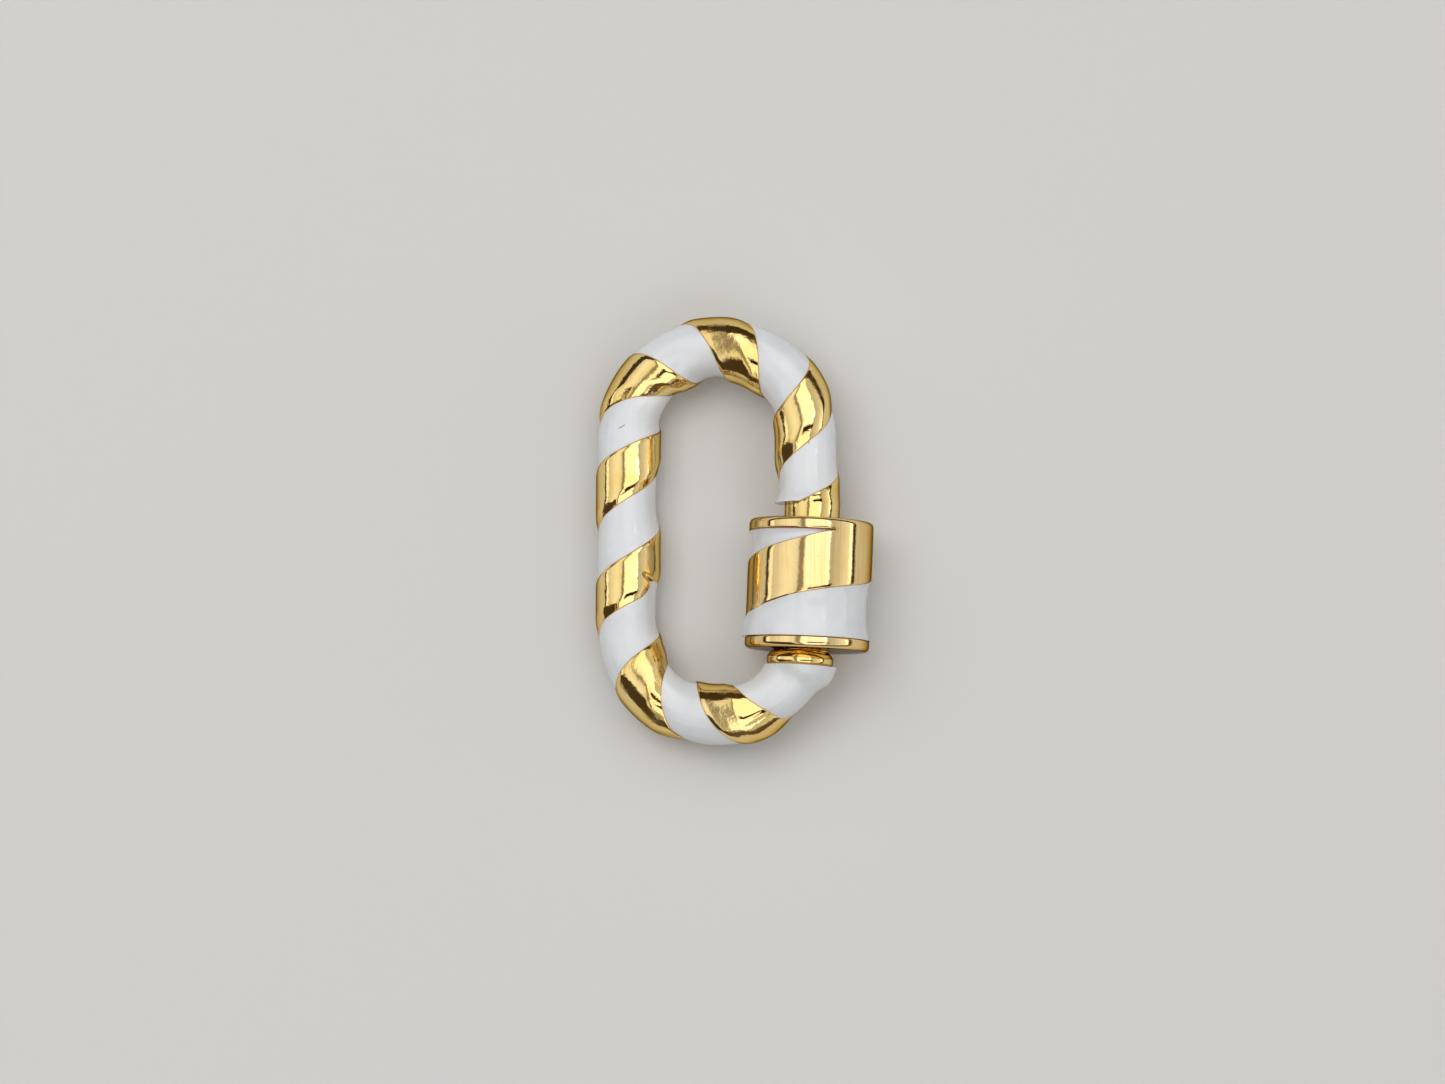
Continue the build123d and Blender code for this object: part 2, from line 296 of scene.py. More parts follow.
@dataclass(frozen=True)
class GiltFinish:
    """Polished gold plating with faint ripples and pits, and a painted dark reflection on its rounded edges.
    """

    streaks: float  # strength of the polishing lines along the legs
    colour: Colour
    deep_colour: Colour
    pits: Spots = Spots(1700.0, 0.07, 0.05, "Red")
    peel: float = 0.1
    relief: float = 0.02 * MM
    roughness: float = 0.07
    # painted dark reflection on the rounded edges
    edge_shade_colour: Colour = (0.6, 0.24, 0.05, 1.0)
    pit_colour: Colour = (0.3, 0.14, 0.04, 1.0)
    streak_colour: Colour = (0.8, 0.52, 0.2, 1.0)
    edge_tint: Colour = (0.22, 0.14, 0.06, 1.0)  # of reflections at a low angle
    edge_shade_share: float = 0.75  # of each colour at its strongest
    pit_share: float = 0.8
    streak_share: float = 0.35
    smudge_roughness: float = 0.09  # added to the roughness by each
    pit_roughness: float = 0.2
    worn_roughness: float = 0.1
    streak_roughness: float = 0.1
    streak_height: float = 0.03  # as shares of the relief
    pit_depth: float = 0.4
    dimple_height: float = 1.1
    edge_shade_limits: tuple[float, float] = (0.35, 0.95)  # of the border shade value, over which the painted dark reflection grows
    rough_limits: tuple[float, float] = (0.5, 0.9)  # of the lines' value, where they roughen
    worn_patches: Grain = Grain(700.0)
    dimples: Grain = Grain(4200.0, 3.0, 0.6)
    ripple_grain: Grain = Grain(1500.0, 3.0, 0.55)
    peel_grain: Grain = Grain(5200.0)
    clouds: Grain = Grain(420.0, 3.0, 0.5, 0.35, 0.7)
    smudges: Grain = Grain(2600.0, 5.0, 0.65, 0.45, 0.8)
    lines: Grain = Grain(7000.0, 1.5, 0.5, 0.45, 0.7)
    line_stretch: float = 0.03  # of the lines' pattern along the legs

    def make(self, name: str) -> bpy.types.Material:
        """Builds the material.

        Args:
            name: Its name.

        Returns:
            The material.
        """
        material, graph = new_material(name)
        place = graph.add("ShaderNodeTexCoord", output="Object")
        border_shade = graph.attribute("border_shade")
        worn = graph.attribute("wear") * graph.patches(place, self.worn_patches)
        lines = graph.noise(graph.vector("MULTIPLY", place, (1.0, self.line_stretch, 1.0)), self.lines)
        streak = lines.over(self.lines.low, self.lines.high) * (self.streak_share * self.streaks)
        pit = graph.spots(place, self.pits)
        tone = graph.blend(graph.patches(place, self.clouds), self.colour, self.deep_colour)
        tone = graph.blend(streak, tone, self.streak_colour)
        # Painted dark reflection on the rounded edges.
        tone = graph.blend(border_shade.over(*self.edge_shade_limits) * self.edge_shade_share, tone, self.edge_shade_colour)
        tone = graph.blend(pit * self.pit_share, tone, self.pit_colour)
        rough = self.roughness + graph.patches(place, self.smudges) * self.smudge_roughness
        rough = rough + pit * self.pit_roughness + worn * self.worn_roughness
        rough = rough + lines.over(*self.rough_limits) * (self.streak_roughness * self.streaks)
        height = graph.ripples(place, self.ripple_grain) + graph.ripples(place, self.peel_grain) * self.peel
        height = height + (lines - 0.5) * (self.streak_height * self.streaks) - pit * self.pit_depth
        height = height + graph.ripples(place, self.dimples) * worn * self.dimple_height
        shades = {"Base Color": tone, "Metallic": 1.0, "Roughness": rough, "Specular Tint": self.edge_tint}
        graph.surface(height, self.relief, shades)
        return material


@dataclass(frozen=True)
class Scratch:
    """A straight dark scratch across the front, in metres."""

    start: tuple[float, float]
    end: tuple[float, float]
    half_width: float
    core: float = 0.25  # share of the half width that is full


@dataclass(frozen=True)
class EnamelFinish:
    """Glossy white enamel: faint clouds, painted warm shade along its edges by the gold, tiny specks and
    dark scratches.
    """

    scratches: tuple[Scratch, ...]
    colour: Colour = (0.725, 0.74, 0.76, 1.0)
    shade_colour: Colour = (0.66, 0.68, 0.71, 1.0)
    # painted warm shade along the edges, where the enamel meets the gold
    border_shade_colour: Colour = (0.74, 0.5, 0.38, 1.0)
    speck_colour: Colour = (0.22, 0.17, 0.14, 1.0)
    front: tuple[float, float] = (2.5 * MM, 2.6 * MM)  # heights between which the scratches end
    roughness: float = 0.16
    specks: Spots = Spots(900.0, 0.05, 0.05, "Green")
    relief: float = 0.02 * MM
    refraction: float = 1.5
    coat: float = 0.2
    coat_roughness: float = 0.05
    edge_shade_share: float = 0.85  # of each colour at its strongest
    speck_share: float = 0.8
    scratch_share: float = 0.85
    smudge_roughness: float = 0.12  # added to the roughness by each
    scratch_roughness: float = 0.4
    peel: float = 0.08  # as shares of the relief
    speck_depth: float = 0.2
    scratch_depth: float = 0.5
    edge_shade_limits: tuple[float, float] = (0.3, 1.0)  # of the border shade value, over which the painted warm shade grows
    clouds: Grain = Grain(380.0, 4.0, 0.6, 0.35, 0.75)
    waves: Grain = Grain(700.0)
    peel_grain: Grain = Grain(4200.0, 3.0)
    smudges: Grain = Grain(1500.0, 4.0, 0.6, 0.45, 0.85)

    def make(self, name: str) -> bpy.types.Material:
        """Builds the material.

        Args:
            name: Its name.

        Returns:
            The material.
        """
        material, graph = new_material(name)
        place = graph.add("ShaderNodeTexCoord", output="Object")
        # How much painted warm shade each point gets along its edges.
        edge = graph.attribute("border_shade").over(*self.edge_shade_limits)
        speck = graph.spots(place, self.specks)
        scratch: Link | float = 0.0
        for mark in self.scratches:
            scratch = graph.maths("MAXIMUM", scratch, self._scratch(graph, place, mark))
        dark = graph.maths("MAXIMUM", speck * self.speck_share, scratch * self.scratch_share)
        tone = graph.blend(graph.patches(place, self.clouds), self.colour, self.shade_colour)
        tone = graph.blend(edge * self.edge_shade_share, tone, self.border_shade_colour)
        tone = graph.blend(dark, tone, self.speck_colour)
        rough = self.roughness + graph.patches(place, self.smudges) * self.smudge_roughness
        rough = rough + scratch * self.scratch_roughness
        height = graph.ripples(place, self.waves) + graph.ripples(place, self.peel_grain) * self.peel
        height = height - speck * self.speck_depth - scratch * self.scratch_depth
        shades = {
            "Base Color": tone,
            "Roughness": rough,
            "IOR": self.refraction,
            "Coat Weight": self.coat,
            "Coat Roughness": self.coat_roughness,
        }
        graph.surface(height, self.relief, shades)
        return material

    def _scratch(self, graph: Graph, place: Link, mark: Scratch) -> Link:
        """Adds the mask of a scratch.

        Args:
            graph: The material's graph.
            place: Object coordinates.
            mark: The scratch.

        Returns:
            1 on the scratch and 0 elsewhere.
        """
        start, end = Vector((*mark.start, 0.0)), Vector((*mark.end, 0.0))
        along = end - start
        flat = graph.vector("MULTIPLY", place, (1.0, 1.0, 0.0))
        from_start = graph.vector("SUBTRACT", flat, tuple(start))
        share = graph.vector("DOT_PRODUCT", from_start, tuple(along / along.length_squared), output="Value")
        held = graph.add("ShaderNodeClamp", None, {"Value": share})
        nearest = graph.scaled(tuple(along), held)
        gap = graph.vector("LENGTH", graph.vector("SUBTRACT", from_start, nearest), output="Value")
        near = 1.0 - gap.over(mark.core * mark.half_width, mark.half_width)
        return near * graph.split(place)[2].over(*self.front)


@dataclass(frozen=True)
class FloorFinish:
    """Plain pale paper."""

    colour: Colour = (0.62, 0.615, 0.605, 1.0)
    roughness: float = 0.75
    grain: Grain = Grain(900.0, 3.0)
    relief: float = 0.009 * MM

    def make(self, name: str) -> bpy.types.Material:
        """Builds the material.

        Args:
            name: Its name.

        Returns:
            The material.
        """
        material, graph = new_material(name)
        place = graph.add("ShaderNodeTexCoord", output="Object")
        shades = {"Base Color": self.colour, "Roughness": self.roughness}
        graph.surface(graph.noise(place, self.grain), self.relief, shades)
        return material


SCRATCHES = (
    Scratch((-0.00742, 0.00655), (-0.0071, 0.00675), 0.05 * MM),
    Scratch((0.00462, 0.0059), (0.00478, 0.00534), 0.04 * MM),
)
FINISHES: dict[Finish, bpy.types.Material] = {}


def make_finishes() -> None:
    """Builds each finish's material."""
    makers = {
        Finish.RING_GILT: GiltFinish(0.2, (1.0, 0.77, 0.34, 1.0), (0.97, 0.69, 0.24, 1.0)),
        Finish.SLEEVE_GILT: GiltFinish(
            streaks=1.0,
            colour=(1.0, 0.76, 0.37, 1.0),
            deep_colour=(0.98, 0.7, 0.3, 1.0),
            pits=Spots(1700.0, 0.07, 0.0, "Red"),
            peel=0.03,
            relief=0.01 * MM,
        ),
        Finish.ENAMEL: EnamelFinish(SCRATCHES),
        Finish.FLOOR: FloorFinish(),
    }
    for finish, maker in makers.items():
        FINISHES[finish] = maker.make(finish.value)


# Sizes and tables


@dataclass(frozen=True)
class Turn:
    """One turn of the ring's ridge, where it crosses the front."""

    centre: float  # as a share of the ring's length
    width: float  # likewise
    flare: float  # share by which it widens on the outside
    near_roll: float  # width of its rolled side towards the leg's end, in millimetres
    far_roll: float  # width of its rolled side towards the foot, in millimetres
    skew: float  # share by which the far side widens on the outside
    crease: float  # width over which the sides turn down, in millimetres
    wear: float  # from 0 to 1


RIDGE = (
    Turn(-0.150, 0.060, 0.00, 0.50, 0.40, 0.0, 0.30, 0.0),
    Turn(-0.027, 0.060, 0.00, 0.50, 0.40, 0.0, 0.40, 0.0),
    Turn(0.107, 0.070, -0.19, 1.35, 0.35, 0.0, 0.80, 0.3),
    Turn(0.240, 0.067, -0.06, 1.25, 0.40, 0.0, 0.85, 1.0),
    Turn(0.368, 0.059, 0.17, 0.35, 1.35, -0.5, 0.42, 0.1),
    Turn(0.498, 0.069, 0.06, 0.30, 0.80, 0.0, 0.48, 0.0),
    Turn(0.636, 0.064, -0.05, 0.30, 0.80, 0.0, 0.48, 0.0),
    Turn(0.769, 0.065, 0.19, 0.35, 1.40, 0.0, 0.85, 1.0),
    Turn(0.897, 0.066, -0.09, 0.40, 1.45, 0.5, 0.40, 0.5),
    Turn(1.048, 0.064, 0.00, 0.40, 1.00, 0.0, 0.30, 0.0),
    Turn(1.157, 0.060, 0.00, 0.40, 1.00, 0.0, 0.30, 0.0),
    Turn(1.287, 0.060, 0.00, 0.40, 1.00, 0.0, 0.30, 0.0),
)


@dataclass(frozen=True)
class Crest:
    """The ridge's edges and sides after a number of turns."""

    near: float  # length of its edge towards the leg's end
    far: float  # length of its edge towards the foot
    near_roll: float
    far_roll: float
    crease: float
    wear: float


@dataclass(frozen=True)
class Nick:
    """A place where the enamel runs into the ridge's edge towards the foot."""

    turns: float  # from the table's first row
    depth: float  # millimetres
    spread: float  # turns


NICKS = (Nick(5.81, 0.6, 0.045), Nick(6.4, 0.12, 0.02), Nick(8.28, 0.85, 0.15))


@dataclass(frozen=True)
class Jag:
    """One pace of the unevenness along the ridge's creases."""

    pace: float  # per turn
    seed: float
    share: float


JAGS = (Jag(14, 4.1, 1.0), Jag(37, 2.2, 0.7), Jag(83, 6.6, 0.4))


@dataclass(frozen=True)
class Flank:
    """A point across one pitch of the thread."""

    along: float  # as a share of the pitch
    depth: float  # below the crest, as a share of the thread's depth
    border_shade: float  # painted shade in the thread's groove, more the deeper it is


THREAD = (
    Flank(0.00, 0.00, 0.00),
    Flank(0.20, 0.00, 0.00),
    Flank(0.28, 0.15, 0.06),
    Flank(0.45, 1.00, 0.40),
    Flank(0.60, 1.12, 0.45),
    Flank(0.75, 1.00, 0.40),
    Flank(0.92, 0.15, 0.06),
    Flank(1.00, 0.00, 0.00),
)


@dataclass(frozen=True)
class Edges:
    """Upper and lower edge of the sleeve's channel, as shares of the height between its rims."""

    upper: float
    lower: float


SLEEVE_CHANNEL = (
    Edges(1.000, 0.985),
    Edges(1.000, 0.895),
    Edges(1.000, 0.797),
    Edges(0.998, 0.688),
    Edges(0.967, 0.563),
    Edges(0.893, 0.420),
    Edges(0.790, 0.265),
    Edges(0.690, 0.120),
    Edges(0.592, 0.012),
    Edges(0.525, 0.000),
    Edges(0.468, 0.000),
    Edges(0.395, 0.000),
    Edges(0.283, 0.000),
    Edges(0.206, 0.000),
    Edges(0.115, 0.000),
    Edges(0.012, 0.000),
)


def smooth(values: Sequence[float], place: float) -> float:
    """Value of a smooth curve through evenly spaced values.

    Args:
        values: The values.
        place: Where to read it, counted in spacings.

    Returns:
        The value there.
    """
    first = min(max(floor(place), 0), len(values) - 2)
    before = values[max(first - 1, 0)]
    start, end = values[first], values[first + 1]
    after = values[min(first + 2, len(values) - 1)]
    t = place - first
    slope_in, slope_out = (end - before) / 2, (after - start) / 2
    bend = (2 * t**3 - 3 * t**2 + 1) * start + (t**3 - 2 * t**2 + t) * slope_in
    return bend + (3 * t**2 - 2 * t**3) * end + (t**3 - t**2) * slope_out


def wobble(*place: float) -> float:
    """Repeatable smooth unevenness between about -1 and 1 at a place of up to three numbers."""
    return noise.noise(Vector((*place, 0.37, 0.61)[:3]))


def eased(low: float, high: float, steps: int) -> list[float]:
    """Values from low to high, both included, that crowd towards both ends."""
    return [low + (high - low) * (1 - cos(pi * i / steps)) / 2 for i in range(steps + 1)]


def even(low: float, high: float, steps: int) -> list[float]:
    """Evenly spaced values from low to high, both included."""
    return [low + (high - low) * i / steps for i in range(steps + 1)]


def rounded(corner: tuple[float, float], start: float, end: float, radius: float, steps: int) -> Profile:
    """Points of a rounded corner.

    Args:
        corner: Centre of the rounding, as length and radius.
        start: Angle at which it starts, in degrees, 0 along the length and 90 outwards.
        end: Angle at which it ends.
        radius: Radius of the rounding.
        steps: Number of its facets.

    Returns:
        The points from start to end.
    """
    return [
        (corner[0] + radius * cos(radians(a)), corner[1] + radius * sin(radians(a)))
        for a in even(start, end, steps)
    ]


@dataclass(frozen=True)
class RingLine:
    """The centre line of the C-shaped ring, from the end of its right leg round to its foot.

    Lengths are in millimetres and angles in degrees, and heights start at the ring's middle.
    """

    height: float = 28.0
    leg_spacing: float = 11.7
    wire_radius: float = 2.1
    leg_end_height: float = 1.7
    foot_drop: float = 8.7
    foot_tilt: float = 3.5
    spare: float = 9.0  # length past both ends, which the gate cuts off

    @property
    def bow_radius(self) -> float:
        """Radius of each bow's centre line."""
        return self.leg_spacing / 2

    @property
    def bow_height(self) -> float:
        """Height of each bow's centre from the ring's middle."""
        return self.height / 2 - self.wire_radius - self.bow_radius

    @property
    def upper_leg(self) -> float:
        """Length of the right leg above the gate."""
        return self.bow_height - self.leg_end_height

    @property
    def length(self) -> float:
        """Length of the whole line."""
        foot_angle = asin((self.foot_drop - self.bow_height) / self.bow_radius)
        return self.upper_leg + 2 * self.bow_height + (2 * pi - foot_angle) * self.bow_radius

    def centre(self, length: float) -> tuple[Vector, Vector]:
        """Point of the line.

        Args:
            length: Length from the leg's end.

        Returns:
            The point and the direction away from the ring's middle.
        """
        past_leg = length - self.upper_leg
        past_top = past_leg - pi * self.bow_radius
        past_left = past_top - 2 * self.bow_height
        if past_leg < 0:
            return Vector((self.bow_radius, self.bow_height + past_leg, 0)), Vector((1, 0, 0))
        if past_top < 0:
            outward = Vector((cos(past_leg / self.bow_radius), sin(past_leg / self.bow_radius), 0))
            return Vector((0, self.bow_height, 0)) + outward * self.bow_radius, outward
        if past_left < 0:
            return Vector((-self.bow_radius, self.bow_height - past_top, 0)), Vector((-1, 0, 0))
        turn = pi + past_left / self.bow_radius
        outward = Vector((cos(turn), sin(turn), 0))
        return Vector((0, -self.bow_height, 0)) + outward * self.bow_radius, outward

    def points(self, spacing: float = 0.05) -> list[Vector]:
        """Points of the line and its spare ends, evenly spaced."""
        steps = ceil((self.length + 2 * self.spare) / spacing)
        return [self.centre(place)[0] for place in even(-self.spare, self.length + self.spare, steps)]


RING = RingLine()


@dataclass(frozen=True)
class AxisLine:
    """A straight axis across the gate."""

    foot: Vector
    up: Vector
    spare: float = 4.0  # length below the foot
    reach: float = 20.0  # length above the foot

    def points(self) -> list[Vector]:
        """Both ends of the axis."""
        return [self.foot - self.up * self.spare, self.foot + self.up * self.reach]


@dataclass(frozen=True)
class GateSizes:
    """Sizes of the post, collar, boss, stub and sleeve in the gate.

    Lengths are in millimetres and angles in degrees, and heights start at the foot of the shut sleeve.
    """

    axis_lean: float = 2.4
    axis_inset: float = 0.05
    post_radius: float = 1.87
    post_chamfer: float = 0.3
    collar_radius: float = 2.03
    collar_height: float = 0.62
    collar_inset: float = 0.5
    boss_height: float = 0.34
    screw_radius: float = 1.6
    screw_length: float = 0.85
    screw_pitch: float = 0.5
    screw_depth: float = 0.2
    sleeve_radius: float = 4.0
    sleeve_length: float = 8.33
    lower_rim: float = 0.70
    upper_rim: float = 0.74
    rim_rounding: float = 0.32
    channel_depth: float = 0.55
    bore_chamfer: float = 0.12
    slide_clearance: float = 0.05
    seat_gap: float = 0.04
    guide_grip: float = 0.3
    mouth_clearance: float = 0.2

    @property
    def up(self) -> Vector:
        """Direction of the sleeve's axis."""
        return Vector((sin(radians(self.axis_lean)), cos(radians(self.axis_lean)), 0))

    @property
    def foot(self) -> Vector:
        """Foot of the shut sleeve on its axis."""
        stack = self.collar_height + self.boss_height + self.seat_gap
        return Vector((RING.bow_radius - self.axis_inset, -RING.foot_drop + stack, 0))

    @property
    def leg_end(self) -> float:
        """Height of the leg's end along the axis."""
        return (RING.leg_end_height - self.foot.y) / self.up.y

    @property
    def ledge(self) -> float:
        """Height of the bore that screws onto the stub."""
        return self.screw_length + 2 * self.seat_gap

    @property
    def travel(self) -> float:
        """Travel of the sleeve."""
        return (self.leg_end - self.ledge - self.guide_grip - 2 * self.seat_gap) / 2

    @property
    def guide_top(self) -> float:
        """Height of the guide bore's upper end."""
        return self.leg_end - self.seat_gap - self.travel

    @property
    def mouth_bore(self) -> float:
        """Radius of the sleeve's wide mouth."""
        offset = self.up.x * (self.sleeve_length + self.travel) - self.axis_inset
        return RING.wire_radius + offset + self.mouth_clearance

    @property
    def rim_space(self) -> float:
        """Height between the two rims."""
        return self.sleeve_length - self.lower_rim - self.upper_rim


GATE = GateSizes()
# Degrees by which the ring rolls round its long axis to lie on its left leg and on the sleeve.
ROLL = degrees(asin((GATE.sleeve_radius - RING.wire_radius) / (RING.bow_radius + GATE.foot.x)))
RING_MIDDLE = Vector((-1.09427, -0.113348, 3.05181))  # of the lying ring, from the clasp's origin
TO_REST = (
    Matrix.Translation(RING_MIDDLE * MM) @ Matrix.Rotation(radians(-ROLL), 4, "Y") @ Matrix.Scale(MM, 4)
)


# Sheets, wrapping and joining


@dataclass(frozen=True)
class Ripple:
    """Faint ripples of a wrapped surface."""

    height: float = 0.0  # millimetres
    scale: float = 1.0  # per millimetre
    seed: float = 0.0


def add_object(name: str, data: bpy.types.ID) -> bpy.types.Object:
    """Makes an object and puts it into the scene.

    Args:
        name: Its name.
        data: Its mesh, curve, lamp or camera.

    Returns:
        The object.
    """
    item = bpy.data.objects.new(name, data)
    bpy.context.scene.collection.objects.link(item)
    return item


def plain_mesh(item: bpy.types.Object) -> bpy.types.Mesh:
    """Applies an object's modifier.

    Args:
        item: The object.

    Returns:
        A new mesh.
    """
    bpy.context.view_layer.update()
    graph = bpy.context.evaluated_depsgraph_get()
    return bpy.data.meshes.new_from_object(item.evaluated_get(graph))


def helix(
    profile: Callable[[float], list[Point]],
    turns: tuple[float, float],
    steps_per_turn: int,
    limits: tuple[float, float] | None = None,
    end_radius: float = 0.0,
) -> Sheet:
    """Sheet that winds round a path.

    Args:
        profile: Gives the points across one pitch after a number of turns.
        turns: First and last number of turns.
        steps_per_turn: Rows in each turn.
        limits: Lengths past which the points gather in a ring at the end radius.
        end_radius: That radius.

    Returns:
        The sheet.
    """
    rows = []
    for step in range(round(turns[0] * steps_per_turn), round(turns[1] * steps_per_turn) + 1):
        turned = step / steps_per_turn
        row = []
        for length, radius, border_shade, wear in profile(turned):
            if limits and not limits[0] < length < limits[1]:
                length, radius = min(max(length, limits[0]), limits[1]), end_radius
            row.append((length, FULL_TURN * turned, radius, border_shade, wear))
        rows.append(row)
    return np.array(rows)


def lathe(profile: Profile, steps: int) -> Sheet:
    """Sheet of a profile turned once round a path.

    Args:
        profile: Points (length, radius).
        steps: Rows round the turn.

    Returns:
        The sheet.
    """
    angles = even(0.0, FULL_TURN, steps)
    return np.array([[(length, angle, radius, 0.0, 0.0) for length, radius in profile] for angle in angles])


def sheet_mesh(name: str, sheets: Sequence[Sheet]) -> bpy.types.Mesh:
    """Mesh of flat sheets, with each point's painted edge shade and wear.

    Args:
        name: The mesh's name.
        sheets: The sheets.

    Returns:
        The mesh, not yet wrapped round a path.
    """
    points, faces = [], []
    for sheet in sheets:
        rows, columns, _ = sheet.shape
        first = len(points)
        points += [tuple(point) for row in sheet for point in row]
        for r in range(rows - 1):
            for c in range(columns - 1):
                a = first + r * columns + c
                faces.append((a, a + 1, a + columns + 1, a + columns))
    mesh = bpy.data.meshes.new(name)
    mesh.from_pydata([point[:3] for point in points], [], faces)
    for column, attribute in ((3, "border_shade"), (4, "wear")):
        values = mesh.attributes.new(attribute, "FLOAT", "POINT")
        values.data.foreach_set("value", np.array([point[column] for point in points], np.float32))
    return mesh


MERGE_DISTANCE = 0.002  # millimetres


def close_mesh(mesh: bpy.types.Mesh) -> None:
    """Merges a wrapped mesh's seams, fills its ends and points its faces outwards.

    Args:
        mesh: The mesh, which is changed.
    """
    work = bmesh.new()
    work.from_mesh(mesh)
    bmesh.ops.remove_doubles(work, verts=work.verts, dist=MERGE_DISTANCE)
    bmesh.ops.dissolve_degenerate(work, edges=work.edges, dist=MERGE_DISTANCE / 4)
    open_edges = [edge for edge in work.edges if edge.is_boundary]
    if open_edges:
        bmesh.ops.holes_fill(work, edges=open_edges, sides=0)
    bmesh.ops.recalc_face_normals(work, faces=work.faces)
    if work.calc_volume(signed=True) < 0:
        bmesh.ops.reverse_faces(work, faces=work.faces)
    work.to_mesh(mesh)
    work.free()


WRAP_INPUTS = {
    "Geometry": "Geometry",
    "Path": "Object",
    "Spare": "Float",
    "Ripple height": "Float",
    "Ripple scale": "Float",
    "Seed": "Float",
    "Material": "Material",
}


@dataclass
class PathWrap:
    """Geometry nodes that wrap a flat sheet round a path and ripple its surface."""

    name: str = "wrap_round_path"
    tree: bpy.types.NodeTree | None = None

    def build(self) -> None:
        """Builds the node tree with its named inputs."""
        tree = bpy.data.node_groups.new(self.name, "GeometryNodeTree")
        for name, kind in WRAP_INPUTS.items():
            tree.interface.new_socket(name, in_out="INPUT", socket_type=f"NodeSocket{kind}")
        tree.interface.new_socket("Geometry", in_out="OUTPUT", socket_type="NodeSocketGeometry")
        graph = Graph(tree)
        given = tree.nodes.new("NodeGroupInput")

        def size(name: str) -> Link:
            """One of the tree's inputs."""
            return Link(graph, given.outputs[name])

        length, angle, radius = graph.split(graph.add("GeometryNodeInputPosition"))
        path = graph.add("GeometryNodeObjectInfo", None, {"Object": size("Path")}, "Geometry")
        place = graph.add(
            "GeometryNodeSampleCurve",
            {"mode": "LENGTH", "use_all_curves": True},
            {"Curves": path, "Length": length + size("Spare")},
            "Position",
        )
        tangent = Link(graph, place.socket.node.outputs["Tangent"])
        outward = graph.vector("NORMALIZE", graph.vector("CROSS_PRODUCT", tangent, (0.0, 0.0, 1.0)))
        front = graph.add("ShaderNodeCombineXYZ", None, {"Z": graph.maths("COSINE", angle)})
        aside = graph.scaled(outward, graph.maths("SINE", angle))
        round_path = graph.vector("ADD", front, aside)
        rippled = graph.add(
            "ShaderNodeTexNoise",
            {"noise_dimensions": "4D"},
            {
                "Vector": graph.vector("ADD", place, graph.scaled(round_path, radius)),
                "W": size("Seed"),
                "Scale": size("Ripple scale"),
                "Detail": 1.0,
            },
        )
        out = radius + (rippled - 0.5) * size("Ripple height")
        wrapped = graph.vector("ADD", place, graph.scaled(round_path, out))
        result = size("Geometry")
        for kind, sockets in (
            ("GeometryNodeSetPosition", {"Position": wrapped}),
            ("GeometryNodeRealizeInstances", {}),
            ("GeometryNodeSetMaterial", {"Material": size("Material")}),
            ("NodeGroupOutput", {}),
        ):
            result = graph.add(kind, None, {"Geometry": result, **sockets})
        self.tree = tree

    def wrap(
        self,
        name: str,
        sheets: Sequence[Sheet],
        line: RingLine | AxisLine,
        finish: Finish,
        ripple: Ripple = Ripple(),
    ) -> bpy.types.Mesh:
        """Wraps flat sheets round a line and closes them.

        Args:
            name: The flat mesh's name.
            sheets: The flat sheets.
            line: The line that they go round.
            finish: The finish that they get.
            ripple: The ripples of their surface.

        Returns:
            The closed mesh, in millimetres in the ring's own frame.
        """
        if self.tree is None:
            self.build()
        mesh = sheet_mesh(name, sheets)
        curve = bpy.data.curves.new("path", "CURVE")
        curve.dimensions = "3D"
        points = line.points()
        spline = curve.splines.new("POLY")
        spline.points.add(len(points) - 1)
        spline.points.foreach_set("co", [value for point in points for value in (*point, 1.0)])
        path = add_object("path", curve)
        sheet = add_object("sheet", mesh)
        modifier = sheet.modifiers.new("wrap", "NODES")
        modifier.node_group = self.tree
        values = {
            "Path": path,
            "Spare": line.spare,
            "Ripple height": ripple.height,
            "Ripple scale": ripple.scale,
            "Seed": ripple.seed,
            "Material": FINISHES[finish],
        }
        for item in self.tree.interface.items_tree:
            if item.in_out == "INPUT" and item.name in values:
                modifier[item.identifier] = values[item.name]
        wrapped = plain_mesh(sheet)
        sheet.modifiers.remove(modifier)
        for item in (path, sheet):
            bpy.data.objects.remove(item)
        bpy.data.meshes.remove(mesh)
        bpy.data.curves.remove(curve)
        close_mesh(wrapped)
        return wrapped


WRAP = PathWrap()


class Joining(Enum):
    """Ways to combine two closed meshes."""

    CUT = "DIFFERENCE"
    JOIN = "UNION"


def combine(first: bpy.types.Mesh, second: bpy.types.Mesh, way: Joining) -> bpy.types.Mesh:
    """Combines two closed meshes into one.

    Args:
        first: The mesh that is kept, used up.
        second: The mesh that cuts it or joins it, used up.
        way: How.

    Returns:
        The combined mesh.
    """
    objects = [add_object("part", mesh) for mesh in (first, second)]
    modifier = objects[0].modifiers.new("combine", "BOOLEAN")
    modifier.operation = way.value
    modifier.solver = "MANIFOLD"
    modifier.object = objects[1]
    result = plain_mesh(objects[0])
    for item in objects:
        bpy.data.objects.remove(item)
    for mesh in (first, second):
        bpy.data.meshes.remove(mesh)
    return result


